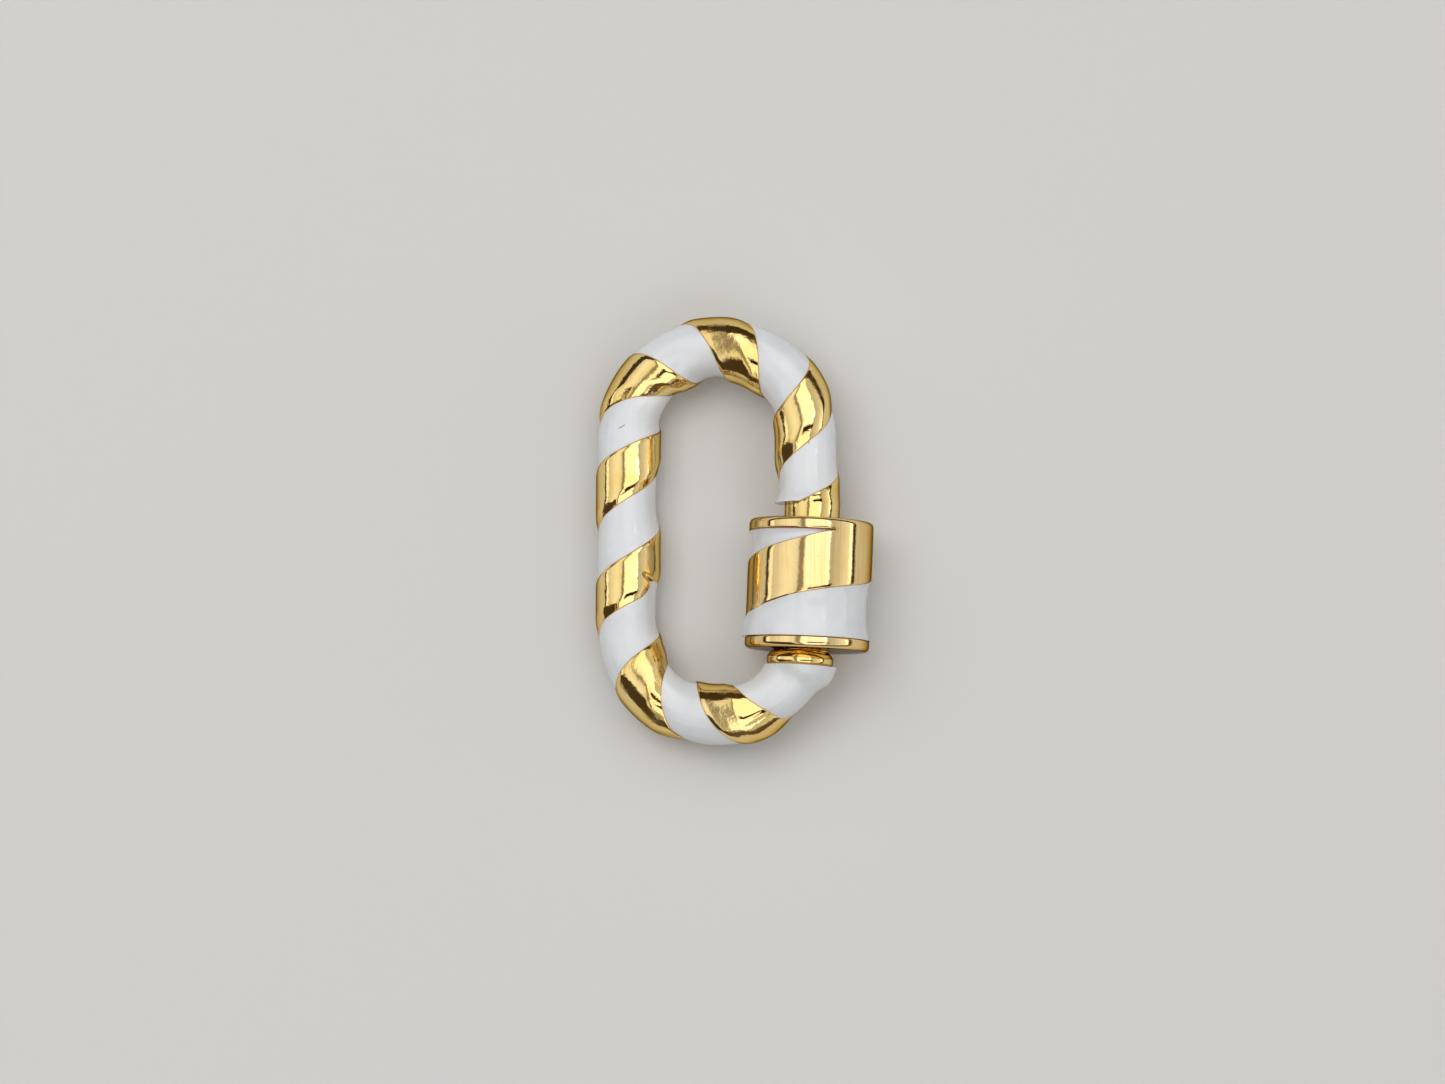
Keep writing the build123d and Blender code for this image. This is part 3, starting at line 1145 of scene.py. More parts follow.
def gate_block(spare: float = 0.0) -> bpy.types.Mesh:
    """Closed block that fills the gate between the leg's end and the foot.

    Args:
        spare: How far it goes into the leg.

    Returns:
        The block's mesh, in the ring's own frame.
    """
    reach = 2 * RING.wire_radius
    middle = RING.bow_radius - GATE.collar_inset
    slope = tan(radians(RING.foot_tilt))
    low_left, low_right = (
        -RING.foot_drop + (middle - x) * slope for x in (RING.bow_radius - reach, RING.bow_radius + reach)
    )
    left, right = RING.bow_radius - reach, RING.bow_radius + reach
    top = RING.leg_end_height + spare
    outline = ((left, low_left), (right, low_right), (right, top), (left, top))
    points = [(x, y, z) for z in (-reach, reach) for x, y in outline]
    faces = [(3, 2, 1, 0), (4, 5, 6, 7)] + [(i, (i + 1) % 4, 4 + (i + 1) % 4, 4 + i) for i in range(4)]
    mesh = bpy.data.meshes.new("gate")
    mesh.from_pydata(points, [], faces)
    return mesh


def finish_piece(name: str, mesh: bpy.types.Mesh, finish: Finish, sharp: float) -> bpy.types.Object:
    """Lays a mesh at rest, smooths it and makes it a piece.

    Args:
        name: The piece's name.
        mesh: Its mesh, in millimetres in the ring's own frame.
        finish: Its finish.
        sharp: Angle in degrees past which an edge stays sharp.

    Returns:
        The piece's object.
    """
    mesh.transform(TO_REST)
    mesh.materials.clear()
    mesh.materials.append(FINISHES[finish])
    mesh.polygons.foreach_set("material_index", [0] * len(mesh.polygons))
    mesh.shade_smooth()
    mesh.set_sharp_from_angle(angle=radians(sharp))
    mesh.name = name
    return add_object(name, mesh)


def report(piece: bpy.types.Object) -> None:
    """Logs a piece's name, faces, openness and size.

    Args:
        piece: The piece.
    """
    work = bmesh.new()
    work.from_mesh(piece.data)
    loose = sum(1 for edge in work.edges if not edge.is_manifold)
    volume = work.calc_volume(signed=True) / MM**3
    triangles = sum(len(face.verts) - 2 for face in work.faces)
    work.free()
    LOG.info("%s: %d triangles, %d open edges, %.1f mm3", piece.name, triangles, loose, volume)


GILT_SHARP = 38.0  # degrees past which an edge of the gilt stays sharp
ENAMEL_SHARP = 50.0
ENAMEL_SINK = 0.02  # of the enamel into its channel's floor, in millimetres
BORDER_SHADE_REACH = 0.07  # over which the enamel's painted edge shade and its spread into the channel's sides fade, in millimetres


# The ring


@dataclass
class Ring:
    """The ring: its gilt wire with the spiral ridge, the fittings in the gate, and the enamel.

    Lengths are in millimetres.
    """

    steps_per_turn: int = 132
    enamel_steps_per_turn: int = 120
    side_columns: int = 5  # along the slope and along the crease of a rolled side
    top_columns: int = 12
    floor_columns: int = 4
    thread_steps: int = 60
    spare_turns: int = 2  # of the thread past both ends
    thread_end_depth: float = 1.2  # of its ends below the crest, in depths of the thread
    lathe_steps: int = 120
    bead_columns: int = 20
    gouge_steps: int = 24
    gouge_columns: int = 16
    ripple: Ripple = Ripple(0.07, 0.5, 3.0)
    enamel_ripple: Ripple = Ripple(0.03, 0.4, 9.0)
    gouge_ripple: Ripple = Ripple(0.05, 3.0, 2.0)
    channel_depth: float = 0.75
    edge_rounding: float = 0.1
    arc_start: float = 20.0  # of the rounded edge, in degrees
    arc_border_shades: tuple[float, ...] = (0.8, 0.55, 0.3, 0.05)  # painted edge shade of its points
    roll_slope: float = 17.0  # of the rolled sides, in degrees
    least_slope: float = 0.04  # width that stays straight beside the rounded edge
    least_roll: float = 0.24  # width of a rolled side
    most_far_roll: float = 0.62  # as a share of the ridge's width
    most_rolls: float = 0.95  # of both sides together, likewise
    edge_wobble: float = 0.05  # unevenness of the ridge's edges
    edge_pace: float = 9.0  # of that unevenness, per turn
    crease_wobble: float = 0.09
    near_share: float = 0.8  # of it on the near side
    enamel_edge: float = 0.05  # of the enamel's edge below the ridge's
    enamel_spread: float = 0.01  # of the enamel into the channel's sides
    enamel_sag: float = 0.24  # of its middle below the ridge's top
    sag_swing: float = 0.1  # by which it is more on the inside of the ring and less on the outside
    sag_power: float = 2.4
    enamel_columns: int = 18
    leg_lip: float = 0.34  # lift of the enamel where it ends at the leg's end
    foot_lip: float = 0.56  # where it ends at the foot
    lip_reach: float = 0.5  # over which the lift fades
    enamel_end_gap: float = 0.08  # between the enamel and the leg's end
    leg_lip_top: float = 0.05  # the most that it stands above the ridge, so that it fits the sleeve's mouth
    foot_lip_top: float = 0.3
    chamfer_ease: float = 0.04  # over which the chamfer of the post's lower end runs out
    ease_drop: float = 0.01  # of the chamfer's edges there
    post_root: float = 0.3  # of the post inside the leg
    cap_inset: float = 0.5  # of the inner ring of points on its hidden end
    neck_length: float = 1.0  # of the post below the leg's end
    neck_slope: float = 0.3  # length over which it narrows
    neck_depth: float = 0.1
    neck_cover: float = 0.015  # of the ridge over the post where they meet
    taper_length: float = 0.75  # over which the ridge runs down to the post
    bead_swell: float = 0.12  # of the collar's bead past the collar's radius
    bead_root: float = 0.25  # of the bead inside the foot
    bead_root_inset: float = 0.35
    bead_widest: float = 0.35  # share of its height at which it is widest
    bead_foot_inset: float = 0.12  # by which it is slimmer at its foot
    bead_top_inset: float = 0.42
    bead_power: float = 2.4  # of its curve above the widest place
    gouge_radius: float = 0.33
    gouge_start: tuple[float, float, float] = (-4.58, -2.55, 1.78)
    gouge_end: tuple[float, float, float] = (-3.67, -3.95, 0.36)

    def ridge(self, turns: float) -> Crest:
        """Reads the ridge.

        Args:
            turns: Turns from the table's first row.

        Returns:
            Its edges and sides there.
        """
        centre, width, flare, near_roll, far_roll, skew, crease, wear = (
            smooth([getattr(row, name) for row in RIDGE], turns)
            for name in ("centre", "width", "flare", "near_roll", "far_roll", "skew", "crease", "wear")
        )
        outside = sin(FULL_TURN * turns)
        half = width * (1 + flare * outside) / 2
        near, far = (
            (centre + way * half) * RING.length + self.edge_wobble * wobble(turns * self.edge_pace, seed)
            for way, seed in ((-1, 1.3), (1, 7.7))
        )
        far -= sum(nick.depth * exp(-(((turns - nick.turns) / nick.spread) ** 2)) for nick in NICKS)
        jagged = sum(jag.share * wobble(turns * jag.pace, jag.seed) for jag in JAGS)
        shift = self.crease_wobble * (0.5 + crease) * jagged
        far_roll = far_roll * (1 + skew * outside) + shift
        far_roll = min(max(far_roll, self.least_roll), (far - near) * self.most_far_roll)
        near_roll = max(near_roll + self.near_share * shift, self.least_roll)
        near_roll = min(near_roll, (far - near) * self.most_rolls - far_roll)
        return Crest(near, far, near_roll, far_roll, crease, min(max(wear, 0.0), 1.0))

    def shoulder(self, gap: float, roll: float, crease: float) -> float:
        """Drop of a rolled side.

        Args:
            gap: Distance from the ridge's edge.
            roll: Width of the rolled side.
            crease: Width over which it turns down.

        Returns:
            How far the surface is below the ridge's top.
        """
        past = max(roll - gap, 0.0)
        crease = self.turn_width(roll, crease)
        slope = tan(radians(self.roll_slope))
        return slope * past**2 / (2 * crease) if past < crease else slope * (past - crease / 2)

    def turn_width(self, roll: float, crease: float) -> float:
        """Width over which a rolled side turns down, at most what fits beside its rounded edge."""
        return min(crease, roll - self.edge_rounding - self.least_slope)

    def edge_drops(self, turns: float) -> tuple[float, float]:
        """Reads how far the ridge's edges are below its top.

        Args:
            turns: Turns from the table's first row.

        Returns:
            The drops of its near and its far edge.
        """
        crest = self.ridge(turns)
        near, far = (self.shoulder(0.0, roll, crest.crease) for roll in (crest.near_roll, crest.far_roll))
        return near, far

    def side(self, roll: float, crease: float, wear: float) -> list[tuple[float, float, float, float]]:
        """Points of one side of the ridge, from its edge to its flat top.

        Args:
            roll: Width of the rolled side.
            crease: Width over which it turns down.
            wear: Wear of the ridge there.

        Returns:
            Each point's distance from the edge, drop below the top, painted edge shade and wear.
        """
        r = self.edge_rounding
        low = self.shoulder(r, roll, crease)
        points = [(0.0, low + r, 1.0, 0.0)]
        arc = even(self.arc_start, 90 - self.roll_slope, len(self.arc_border_shades) - 1)
        for a, border_shade in zip(map(radians, arc), self.arc_border_shades, strict=True):
            points.append((r * (1 - cos(a)), low + r * (1 - sin(a)), border_shade, 0.0))
        crease = self.turn_width(roll, crease)
        steps = self.side_columns
        for gap in even(r, roll - crease, steps)[1:] + even(roll - crease, roll, steps)[1:]:
            points.append((gap, self.shoulder(gap, roll, crease), 0.0, wear))
        return points

    def wire_profile(self, turns: float) -> list[Point]:
        """Points across the ridge and the channel after it.

        Args:
            turns: Turns from the table's first row.

        Returns:
            The points, from the leg's end towards the foot.
        """
        crest, following = self.ridge(turns), self.ridge(turns + 1).near
        top, floor_radius = RING.wire_radius, RING.wire_radius - self.channel_depth
        near_side = self.side(crest.near_roll, crest.crease, crest.wear)
        far_side = self.side(crest.far_roll, crest.crease, crest.wear)
        points = [(crest.near + gap, top - drop, border_shade, wear) for gap, drop, border_shade, wear in near_side]
        flat = even(crest.near + crest.near_roll, crest.far - crest.far_roll, self.top_columns)[1:-1]
        points += [(x, top, 0.0, crest.wear) for x in flat]
        far_side.reverse()
        points += [(crest.far - gap, top - drop, border_shade, wear) for gap, drop, border_shade, wear in far_side]
        # The channel's floor, under the enamel, gets the full painted edge shade.
        points += [(x, floor_radius, 1.0, 0.0) for x in even(crest.far, following, self.floor_columns)]
        points.append((following, top - self.side_low(turns + 1), 1.0, 0.0))
        return [(x, self.tapered(x, turns, radius), border_shade, wear) for x, radius, border_shade, wear in points]

    def tapered(self, length: float, turns: float, radius: float) -> float:
        """Runs the ridge down onto the post at the leg's end.

        Args:
            length: Length of the point along the ring.
            turns: Its turns around the wire.
            radius: Its radius before.

        Returns:
            Its radius there.
        """
        share = min(max(1 - length / self.taper_length, 0.0), 1.0)
        aside = GATE.leg_end * sin(radians(GATE.axis_lean)) - GATE.axis_inset
        angle = FULL_TURN * turns
        neck = GATE.post_radius - self.neck_depth
        post = aside * sin(angle) + sqrt(neck**2 - (aside * cos(angle)) ** 2) + self.neck_cover
        return radius + (min(post, radius) - radius) * share**2 * (3 - 2 * share)

    def side_low(self, turns: float) -> float:
        """Drop of the outermost point of the ridge's near side."""
        crest = self.ridge(turns)
        return self.shoulder(self.edge_rounding, crest.near_roll, crest.crease) + self.edge_rounding

    def wire(self) -> bpy.types.Mesh:
        """Wire with its ridge, longer than the ring at both ends.

        Returns:
            Its closed mesh.
        """
        limits = (-RING.upper_leg / 2, RING.length + RING.upper_leg / 2)
        end_radius = RING.wire_radius - self.channel_depth
        sheet = helix(self.wire_profile, (0, len(RIDGE) - 2), self.steps_per_turn, limits, end_radius)
        return WRAP.wrap("wire", [sheet], RING, Finish.RING_GILT, self.ripple)

    def enamel_profile(self, turns: float) -> list[Point]:
        """Points across the enamel.

        Args:
            turns: Turns from the table's first row.

        Returns:
            The points, as a closed loop.
        """
        near, far = self.ridge(turns).far, self.ridge(turns + 1).near
        width = far - near
        bottom = RING.wire_radius - self.channel_depth - ENAMEL_SINK
        near_edge = self.edge_drops(turns)[1] + self.enamel_edge
        far_edge = self.edge_drops(turns + 1)[0] + self.enamel_edge
        sides = near - self.enamel_spread, far + self.enamel_spread
        points = [(x, bottom, 0.0, 0.0) for x in even(*sides, self.floor_columns - 1)]
        sag = max(self.enamel_sag - self.sag_swing * sin(FULL_TURN * turns), (near_edge + far_edge) / 2)
        for share in eased(1, 0, self.enamel_columns):
            length = near + share * width
            edge = near_edge + share * (far_edge - near_edge)
            depth = edge + (sag - edge) * (1 - abs(2 * share - 1) ** self.sag_power)
            depth -= self.leg_lip * exp(-((max(length, 0.0) / self.lip_reach) ** 2))
            depth -= self.foot_lip * exp(-((max(RING.length - length, 0.0) / self.lip_reach) ** 2))
            depth = max(depth, -self.leg_lip_top if length < RING.length / 2 else -self.foot_lip_top)
            # Painted warm shade near the edges; the same fall-off sets the spread below.
            border_shade = exp(-min(share, 1 - share) * width / BORDER_SHADE_REACH)
            spread = (self.enamel_spread if share > 0.5 else -self.enamel_spread) * border_shade
            points.append((length + spread, RING.wire_radius - depth, border_shade, 0.0))
        return points + points[:1]

    def enamel(self) -> bpy.types.Mesh:
        """Closed mesh of the enamel, longer than the ring at both ends."""
        sheet = helix(self.enamel_profile, (0, len(RIDGE) - 3), self.enamel_steps_per_turn)
        return WRAP.wrap("enamel", [sheet], RING, Finish.ENAMEL, self.enamel_ripple)

    def thread_profile(self, turns: float) -> list[Point]:
        """Points across one pitch of the stub's thread.

        Args:
            turns: Turns round the stub.

        Returns:
            The points, from one crest to the next.
        """
        return [
            (
                (turns + row.along) * GATE.screw_pitch,
                GATE.screw_radius - row.depth * GATE.screw_depth,
                row.border_shade,
                0.0,
            )
            for row in THREAD
        ]

    def post(self) -> Profile:
        """Profile of the post, with its chamfer and its neck.

        Returns:
            The profile.
        """
        start, end = GATE.guide_top - GATE.guide_grip, GATE.leg_end + self.post_root
        chamfer, radius, ease, drop = GATE.post_chamfer, GATE.post_radius, self.chamfer_ease, self.ease_drop
        profile = [(start, 0.0), (start, radius - chamfer - ease), (start + drop, radius - chamfer)]
        profile += [(start + chamfer, radius - drop), (start + chamfer + ease, radius)]
        neck = GATE.leg_end - self.neck_length
        profile += [(neck - self.neck_slope, radius), (neck, radius - self.neck_depth)]
        return profile + [(end, radius - self.neck_depth), (end, radius - self.cap_inset), (end, 0.0)]

    def collar(self) -> Profile:
        """Profile of the collar: one bead from the foot to the sleeve.

        Returns:
            The profile.
        """
        height = GATE.collar_height + GATE.boss_height
        outer = GATE.collar_radius + self.bead_swell
        root, widest = self.bead_root, self.bead_widest
        bead = [(-root, 0.0), (-root, outer - self.bead_root_inset), (0.0, outer - self.bead_foot_inset)]
        for share in even(0, 1, self.bead_columns)[1:]:
            if share < widest:
                inset = self.bead_foot_inset * (1 - share / widest) ** 2
            else:
                inset = self.bead_top_inset * ((share - widest) / (1 - widest)) ** self.bead_power
            bead.append((share * height, outer - inset))
        return bead + [(height, 0.0)]

    def fittings(self) -> list[bpy.types.Mesh]:
        """What fills the gate: the post, the threaded stub, and the collar with its boss.

        Returns:
            Their closed meshes.
        """
        axis = AxisLine(GATE.foot, GATE.up)
        low = -GATE.seat_gap - GATE.boss_height / 2
        limits = (low, GATE.screw_length)
        first, last = (floor(height / GATE.screw_pitch) for height in limits)
        turns = (first - self.spare_turns, last + self.spare_turns)
        thread_end = GATE.screw_radius - self.thread_end_depth * GATE.screw_depth
        thread = helix(self.thread_profile, turns, self.thread_steps, limits, thread_end)
        tilt = radians(RING.foot_tilt)
        collar_foot = Vector((RING.bow_radius - GATE.collar_inset, -RING.foot_drop, 0))
        collar_axis = AxisLine(collar_foot, Vector((sin(tilt), cos(tilt), 0)))
        post, collar = (lathe(profile, self.lathe_steps) for profile in (self.post(), self.collar()))
        fittings = (("post", post, axis), ("stub", thread, axis), ("collar", collar, collar_axis))
        return [WRAP.wrap(name, [sheet], line, Finish.RING_GILT) for name, sheet, line in fittings]

    def gouge(self) -> bpy.types.Mesh:
        """Tool that slipped across the left leg's inner side.

        Returns:
            Its closed mesh.
        """
        start, end = Vector(self.gouge_start), Vector(self.gouge_end)
        along = (end - start).normalized()
        length = (end - start).length
        profile = [
            (length * share, self.gouge_radius * sqrt(sin(pi * share)))
            for share in even(0, 1, self.gouge_columns)
        ]
        sheet = lathe(profile, self.gouge_steps)
        return WRAP.wrap("gouge", [sheet], AxisLine(start, along), Finish.RING_GILT, self.gouge_ripple)

    def build(self) -> list[bpy.types.Object]:
        """Builds the ring's pieces.

        Returns:
            The gilt piece and the enamel.
        """
        metal = combine(self.wire(), gate_block(), Joining.CUT)
        for fitting in self.fittings():
            metal = combine(metal, fitting, Joining.JOIN)
        metal = combine(metal, self.gouge(), Joining.CUT)
        enamel = combine(self.enamel(), gate_block(self.enamel_end_gap), Joining.CUT)
        gilt = finish_piece("gilt_ring", metal, Finish.RING_GILT, GILT_SHARP)
        white = finish_piece("ring_enamel_stripe", enamel, Finish.ENAMEL, ENAMEL_SHARP)
        for piece, node, slot in ((gilt, "ring_body", "gilt_brass"), (white, "ring_enamel", "white_enamel")):
            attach(piece, "ring")
            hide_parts(node)
        return [gilt, white]


# The sleeve


@dataclass
class Sleeve:
    """The screw sleeve: its gilt body with rims, bores and channel, and the enamel.

    Lengths are in millimetres and angles in degrees.
    """

    steps_per_turn: int = 216
    ripple: Ripple = Ripple(0.012, 0.4, 5.0)
    enamel_ripple: Ripple = Ripple(0.02, 0.4, 8.0)
    channel_start: float = 32.0  # where the channel leaves the upper rim
    channel_angle: float = 545.0  # from there to where it runs out into the lower rim
    upper_rounding: float = 0.12  # of the stripe's lower edge, above the channel
    lower_rounding: float = 0.07
    rim_edge: float = 0.09  # rounding of the rims beside the channel
    rim_run_out: float = 0.06  # height over which it runs out
    edge_wave: float = 0.004  # of the channel's upper edge, as a share of the height between the rims
    wavy_below: float = 0.95  # likewise
    full_width: float = 0.3  # of the channel, from which its sides get the full painted dark reflection
    upper_gap: float = 0.05  # between the enamel and the channel's upper edge
    lower_gap: float = 0.03
    land_columns: int = 12
    edge_columns: int = 4
    rim_columns: int = 3
    rounding_columns: int = 8
    enamel_edge: float = 0.05  # of the enamel's edge below the sleeve's outside
    enamel_sag: float = 0.3  # of its middle, likewise
    sag_power: float = 2.2
    enamel_columns: int = 18
    swell: float = 0.56  # of the enamel over the lower rim, where the channel runs out
    swell_share: float = 0.885  # share of the channel's angle at which it is highest
    swell_spread: float = 0.09  # likewise
    swell_start: float = 0.16  # share of a half wave at which it starts, at the rim

    def channel(self, share: float) -> tuple[float, float]:
        """Reads the channel.

        Args:
            share: Share of its whole angle, below 0 before it starts and above 1 past its end.

        Returns:
            Its upper and lower edge, as heights.
        """
        top, bottom = GATE.lower_rim + GATE.rim_space, GATE.lower_rim
        if share < 0:
            return top, top
        if share > 1:
            return bottom, bottom
        place = share * (len(SLEEVE_CHANNEL) - 1)
        upper = min(max(smooth([row.upper for row in SLEEVE_CHANNEL], place), 0), 1)
        lower = min(max(smooth([row.lower for row in SLEEVE_CHANNEL], place), 0), 1)
        if upper < self.wavy_below:
            upper += self.edge_wave * wobble(place * 1.7, 5.5)
        return bottom + upper * GATE.rim_space, bottom + lower * GATE.rim_space

    def edges(self, share: float) -> tuple[float, float, float, float]:
        """Reads the channel's rounded edges.

        Args:
            share: Share of the channel's whole angle.

        Returns:
            Heights at which the upper and the lower edge start to turn in, and by how much each of them
            widens into the rim beside it.
        """
        top, bottom = GATE.lower_rim + GATE.rim_space, GATE.lower_rim
        upper, lower = self.channel(share)
        widening = min((upper - lower) / 2, self.rim_edge)
        up = widening * max(1 - (top - upper) / self.rim_run_out, 0.0)
        down = widening * max(1 - (lower - bottom) / self.rim_run_out, 0.0)
        return upper + up, lower - down, up, down

    def rims(self, angle: float) -> tuple[float, float]:
        """Heights of the lower rim's upper end and of the upper rim's lower end.

        Args:
            angle: Angle round the sleeve, in radians.

        Returns:
            Both heights.
        """
        turned = (self.channel_start - degrees(angle)) % 360
        early, late = (self.edges((turned + back) / self.channel_angle) for back in (0, 360))
        return GATE.lower_rim - max(early[3], late[3]), GATE.lower_rim + GATE.rim_space + early[2]

    def outside(self) -> Sheet:
        """The channel and the bands beside it, from rim to rim.

        Returns:
            The sheet.
        """
        steps, radius = self.steps_per_turn, GATE.sleeve_radius
        turn_share = 360 / self.channel_angle
        total = round(self.channel_angle / 360 * steps)
        rows = []
        for step in range(-steps, total + 1):
            share = step / total
            angle = radians(self.channel_start) - FULL_TURN * step / steps
            rim_low, rim_high = self.rims(angle)
            upper, lower, up, down = self.edges(share)
            following = self.edges(share + turn_share)[0] if share + turn_share <= 1 else rim_low
            if share < 0:
                upper = lower = rim_high
            width = upper - lower
            opened = min(width / self.full_width, 1.0)
            a = max(up, min(self.upper_rounding, width / 3))
            b = max(down, min(self.lower_rounding, width / 3))
            depth = GATE.channel_depth if width > 0 else 0.0
            # The channel's rounded edges get a painted dark reflection, stronger towards its floor.
            row = [(upper, radius, 0.0)]
            row += [
                (upper - a * sin(t), radius - a * (1 - cos(t)), opened * (0.3 + 0.2 * i))
                for i, t in enumerate(even(0, pi / 2, self.edge_columns)[1:])
            ]
            row += [(upper - a, radius - depth, opened), ((upper + lower) / 2, radius - depth, opened)]
            row += [(lower + b, radius - depth, opened)]
            row += [
                (lower + b * sin(t), radius - b * (1 - cos(t)), opened * (0.9 - 0.2 * i))
                for i, t in enumerate(even(pi / 2, 0, self.edge_columns)[:-1])
            ]
            row += [(height, radius, 0.0) for height in even(lower, following, self.land_columns)]
            rows.append([(height, angle, r, border_shade, 0.0) for height, r, border_shade in row])
        return np.array(rows)

    def inside(self) -> Sheet:
        """The rims, the ends and the stepped bore.

        Returns:
            The sheet.
        """
        radius, length, rounding = GATE.sleeve_radius, GATE.sleeve_length, GATE.rim_rounding
        screw_bore = GATE.screw_radius + GATE.slide_clearance
        guide_bore = GATE.post_radius + GATE.slide_clearance
        c = GATE.bore_chamfer
        rows = []
        first, steps = radians(self.channel_start), self.rounding_columns
        for angle in even(first, first + FULL_TURN, self.steps_per_turn):
            rim_low, rim_high = self.rims(angle)
            profile = [(height, radius) for height in even(rim_low, rounding, self.rim_columns)]
            profile += rounded((rounding, radius - rounding), 90, 180, rounding, steps)[1:]
            profile += [(0.0, (radius + screw_bore) / 2), (0.0, screw_bore + c), (c, screw_bore)]
            profile += [(GATE.ledge, screw_bore), (GATE.ledge, guide_bore), (GATE.guide_top, guide_bore)]
            profile += [(GATE.guide_top, GATE.mouth_bore), (length - c, GATE.mouth_bore)]
            profile += [(length, GATE.mouth_bore + c)]
            profile += rounded((length - rounding, radius - rounding), 0, 90, rounding, steps)
            upper_rim = even(length - rounding, rim_high, self.rim_columns)[1:]
            profile += [(height, radius) for height in upper_rim]
            rows.append([(height, angle, r, 0.0, 0.0) for height, r in profile])
        return np.array(rows)

    def enamel_sheet(self) -> Sheet:
        """The enamel's closed section along the channel.

        Returns:
            The sheet.
        """
        total = round(self.channel_angle / 360 * self.steps_per_turn)
        bottom = GATE.sleeve_radius - GATE.channel_depth - ENAMEL_SINK
        rows = []
        for step in range(total + 1):
            share_along = step / total
            upper, lower = self.channel(share_along)
            width = upper - lower
            upper, lower = upper - min(self.upper_gap, width / 6), lower + min(self.lower_gap, width / 6)
            width = upper - lower
            angle = radians(self.channel_start) - FULL_TURN * step / self.steps_per_turn
            swell = self.swell * exp(-(((share_along - self.swell_share) / self.swell_spread) ** 2))
            row = [(lower, angle, bottom, 0.0, 0.0), (upper, angle, bottom, 0.0, 0.0)]
            for share in eased(1, 0, self.enamel_columns):
                hollow = (self.enamel_sag - self.enamel_edge) * (1 - abs(2 * share - 1) ** self.sag_power)
                bulge = swell * sin(pi * (self.swell_start + (1 - self.swell_start) * share))
                radius = GATE.sleeve_radius - self.enamel_edge - hollow + bulge
                # Painted warm shade near the enamel's edges.
                border_shade = exp(-min(share, 1 - share) * width / BORDER_SHADE_REACH)
                row.append((lower + share * width, angle, radius, border_shade, 0.0))
            rows.append(row + row[:1])
        return np.array(rows)

    def build(self) -> list[bpy.types.Object]:
        """Builds the sleeve's pieces.

        Returns:
            The gilt piece and the enamel.
        """
        axis = AxisLine(GATE.foot, GATE.up)
        body = [self.outside(), self.inside()]
        metal = WRAP.wrap("sleeve", body, axis, Finish.SLEEVE_GILT, self.ripple)
        enamel = WRAP.wrap("sleeve_strip", [self.enamel_sheet()], axis, Finish.ENAMEL, self.enamel_ripple)
        gilt = finish_piece("gilt_sleeve", metal, Finish.SLEEVE_GILT, GILT_SHARP)
        white = finish_piece("sleeve_enamel_stripe", enamel, Finish.ENAMEL, ENAMEL_SHARP)
        for piece, node, slot in (
            (gilt, "screw_sleeve", "gilt_brass"),
            (white, "sleeve_enamel", "white_enamel"),
        ):
            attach(piece, "sleeve")
            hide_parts(node)
        return [gilt, white]


# Studio


@dataclass(frozen=True)
class Zone:
    """A part of the light tent, seen from the clasp, in degrees from straight above."""

    name: str
    left: float
    right: float
    near: float
    far: float
    level: float
    edge: float  # softness


ZONES = (
    Zone("left side, lit", -62, -20, -64, 58, 1.0, 22.0),
    Zone("right side, lit", 66, 90, -64, 58, 1.05, 22.0),
    Zone("ceiling panel", -12, 32, -64, 58, 1.35, 1.2),
    Zone("left shade", -22, -12, -64, 58, 0.3, 3.0),
    Zone("right gap", 35, 43, -64, 58, 0.5, 4.0),
    Zone("lamp strip", 31, 35, -50, 50, 2.0, 1.2),
    Zone("right strip", 76, 82, -50, 50, 1.6, 1.0),
    Zone("left strip", -82, -74, -50, 50, 1.2, 1.0),
    Zone("left foot", -120, -83, -90, 90, 0.03, 1.5),
    Zone("right foot", 83, 120, -90, 90, 0.03, 1.5),
    Zone("far end", -120, 120, 58, 120, 0.05, 3.0),
    Zone("near end", -120, 120, -120, -62, 0.1, 5.0),
    Zone("near left corner", -120, -30, -120, -22, 0.06, 4.0),
    Zone("camera opening", -2, 42, -21, -4.5, 0.02, 2.5),
    Zone("bare lamp", 31, 35, 9, 13, 10.0, 0.6),
)


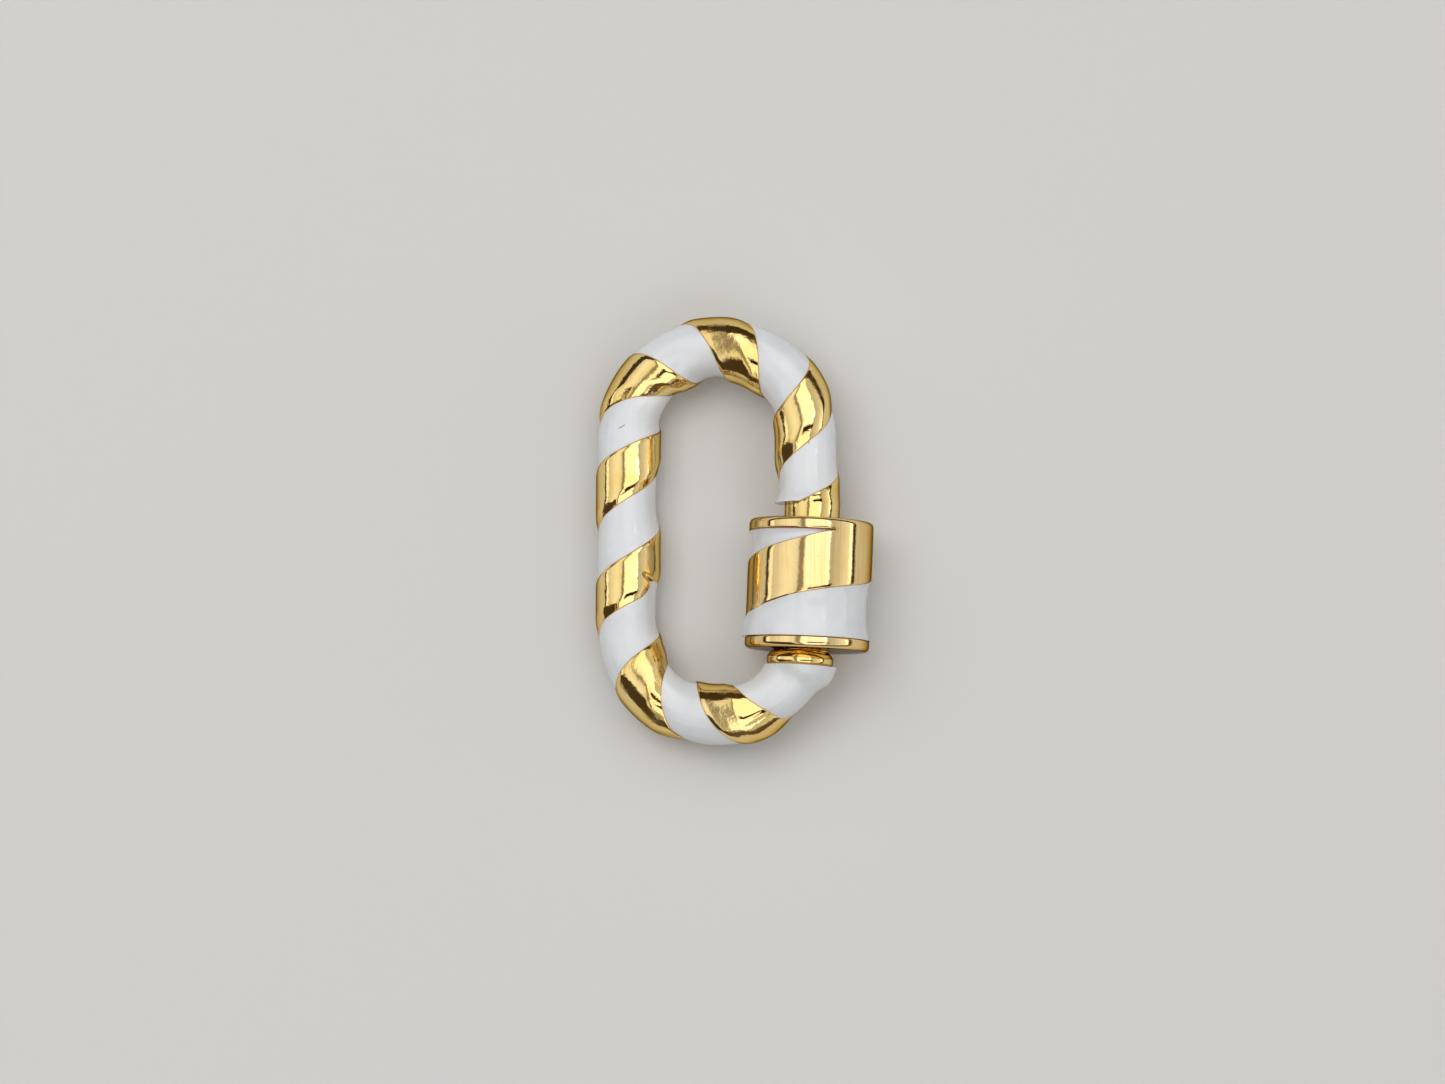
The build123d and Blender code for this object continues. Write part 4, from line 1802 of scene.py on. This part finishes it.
@dataclass
class Studio:
    """Pale floor, a soft light tent, and the camera."""

    camera_elevation: float = 85.0
    camera_distance: float = 330.0
    pixels_per_mm: float = 15.5
    picture_width: float = 1445.0
    sensor_width: float = 36.0
    aim: tuple[float, float] = (0.3226, -0.629)  # of the camera, right of and above the ring's middle
    floor_width: float = 6.0  # metres
    floor_drop: float = 0.02  # millimetres
    side_level: float = 0.6
    dim_colour: Colour = (1.0, 0.7, 0.42, 1.0)
    bright_colour: Colour = (1.0, 0.995, 0.985, 1.0)
    strength: float = 1.0
    lamp_place: tuple[float, float, float] = (-0.25, 0.2, 0.75)  # metres
    lamp_size: float = 0.5
    lamp_power: float = 2.0

    def floor(self) -> None:
        """Lays the floor."""
        half = self.floor_width / 2
        drop = -self.floor_drop * MM
        mesh = bpy.data.meshes.new("floor")
        corners = ((-half, -half), (half, -half), (half, half), (-half, half))
        mesh.from_pydata([(x, y, drop) for x, y in corners], [], [(0, 1, 2, 3)])
        mesh.materials.append(FINISHES[Finish.FLOOR])
        floor_sheet = add_object("floor", mesh)

    def tent(self) -> None:
        """Sets the world's light: a pale tent with darker seams, a dark camera opening and a dim horizon."""
        world = bpy.data.worlds.new("tent")
        world.use_nodes = True
        world.node_tree.nodes.clear()
        graph = Graph(world.node_tree)
        direction = graph.add("ShaderNodeTexCoord", output="Generated")
        x, y, z = graph.split(direction)
        above = graph.maths("MAXIMUM", z, 0.001)
        across = degrees(1) * graph.maths("ARCTAN2", x, above)
        along = degrees(1) * graph.maths("ARCTAN2", y, above)
        level: Link | float = self.side_level
        for zone in ZONES:
            inside = across.over(zone.left - zone.edge, zone.left + zone.edge)
            inside = inside * (1.0 - across.over(zone.right - zone.edge, zone.right + zone.edge))
            inside = inside * along.over(zone.near - zone.edge, zone.near + zone.edge)
            inside = inside * (1.0 - along.over(zone.far - zone.edge, zone.far + zone.edge))
            inside.socket.node.label = zone.name
            level = level + inside * (zone.level - level)
        power = level * self.strength
        colour = graph.blend(level.over(0.0, 0.5), self.dim_colour, self.bright_colour)
        light = graph.add("ShaderNodeBackground", None, {"Color": colour, "Strength": power})
        graph.add("ShaderNodeOutputWorld", None, {"Surface": light})
        bpy.context.scene.world = world

    def fill_lamp(self) -> None:
        """Hangs a wide soft lamp that brightens what is dull and doesn't show in the gold."""
        lamp = bpy.data.lights.new("fill_lamp", "AREA")
        lamp.shape = "DISK"
        lamp.size = self.lamp_size
        lamp.energy = self.lamp_power
        holder = add_object("fill_lamp", lamp)
        holder.location = self.lamp_place
        holder.rotation_euler = (-Vector(self.lamp_place)).to_track_quat("-Z", "Y").to_euler()
        holder.visible_camera = False
        holder.visible_glossy = False

    def camera(self) -> None:
        """Places the camera at the photograph's viewing angle."""
        lift = radians(self.camera_elevation)
        back = Vector((0, -cos(lift), sin(lift)))
        up = Vector((0, sin(lift), cos(lift)))
        target = (RING_MIDDLE + Vector((self.aim[0], 0, 0)) + up * self.aim[1]) * MM
        data = bpy.data.cameras.new("camera")
        data.sensor_width = self.sensor_width
        data.lens = self.pixels_per_mm * self.camera_distance / self.picture_width * data.sensor_width
        data.clip_start, data.clip_end = 0.01, 20.0
        holder = add_object("camera", data)
        holder.location = target + back * self.camera_distance * MM
        holder.rotation_euler = (-back).to_track_quat("-Z", "Y").to_euler()
        bpy.context.scene.camera = holder

    def build(self) -> None:
        """Sets up the floor, the light and the camera."""
        self.floor()
        self.tent()
        self.fill_lamp()
        self.camera()
        bpy.context.scene.view_settings.view_transform = "Standard"


def main() -> None:
    """Builds the clasp's pieces and its studio."""
    logging.basicConfig(level=logging.INFO, format="%(name)s: %(message)s")
    make_finishes()
    pieces = Ring().build() + Sleeve().build()
    for piece in pieces:
        report(piece)
    Studio().build()


if __name__ == "__main__":
    main()
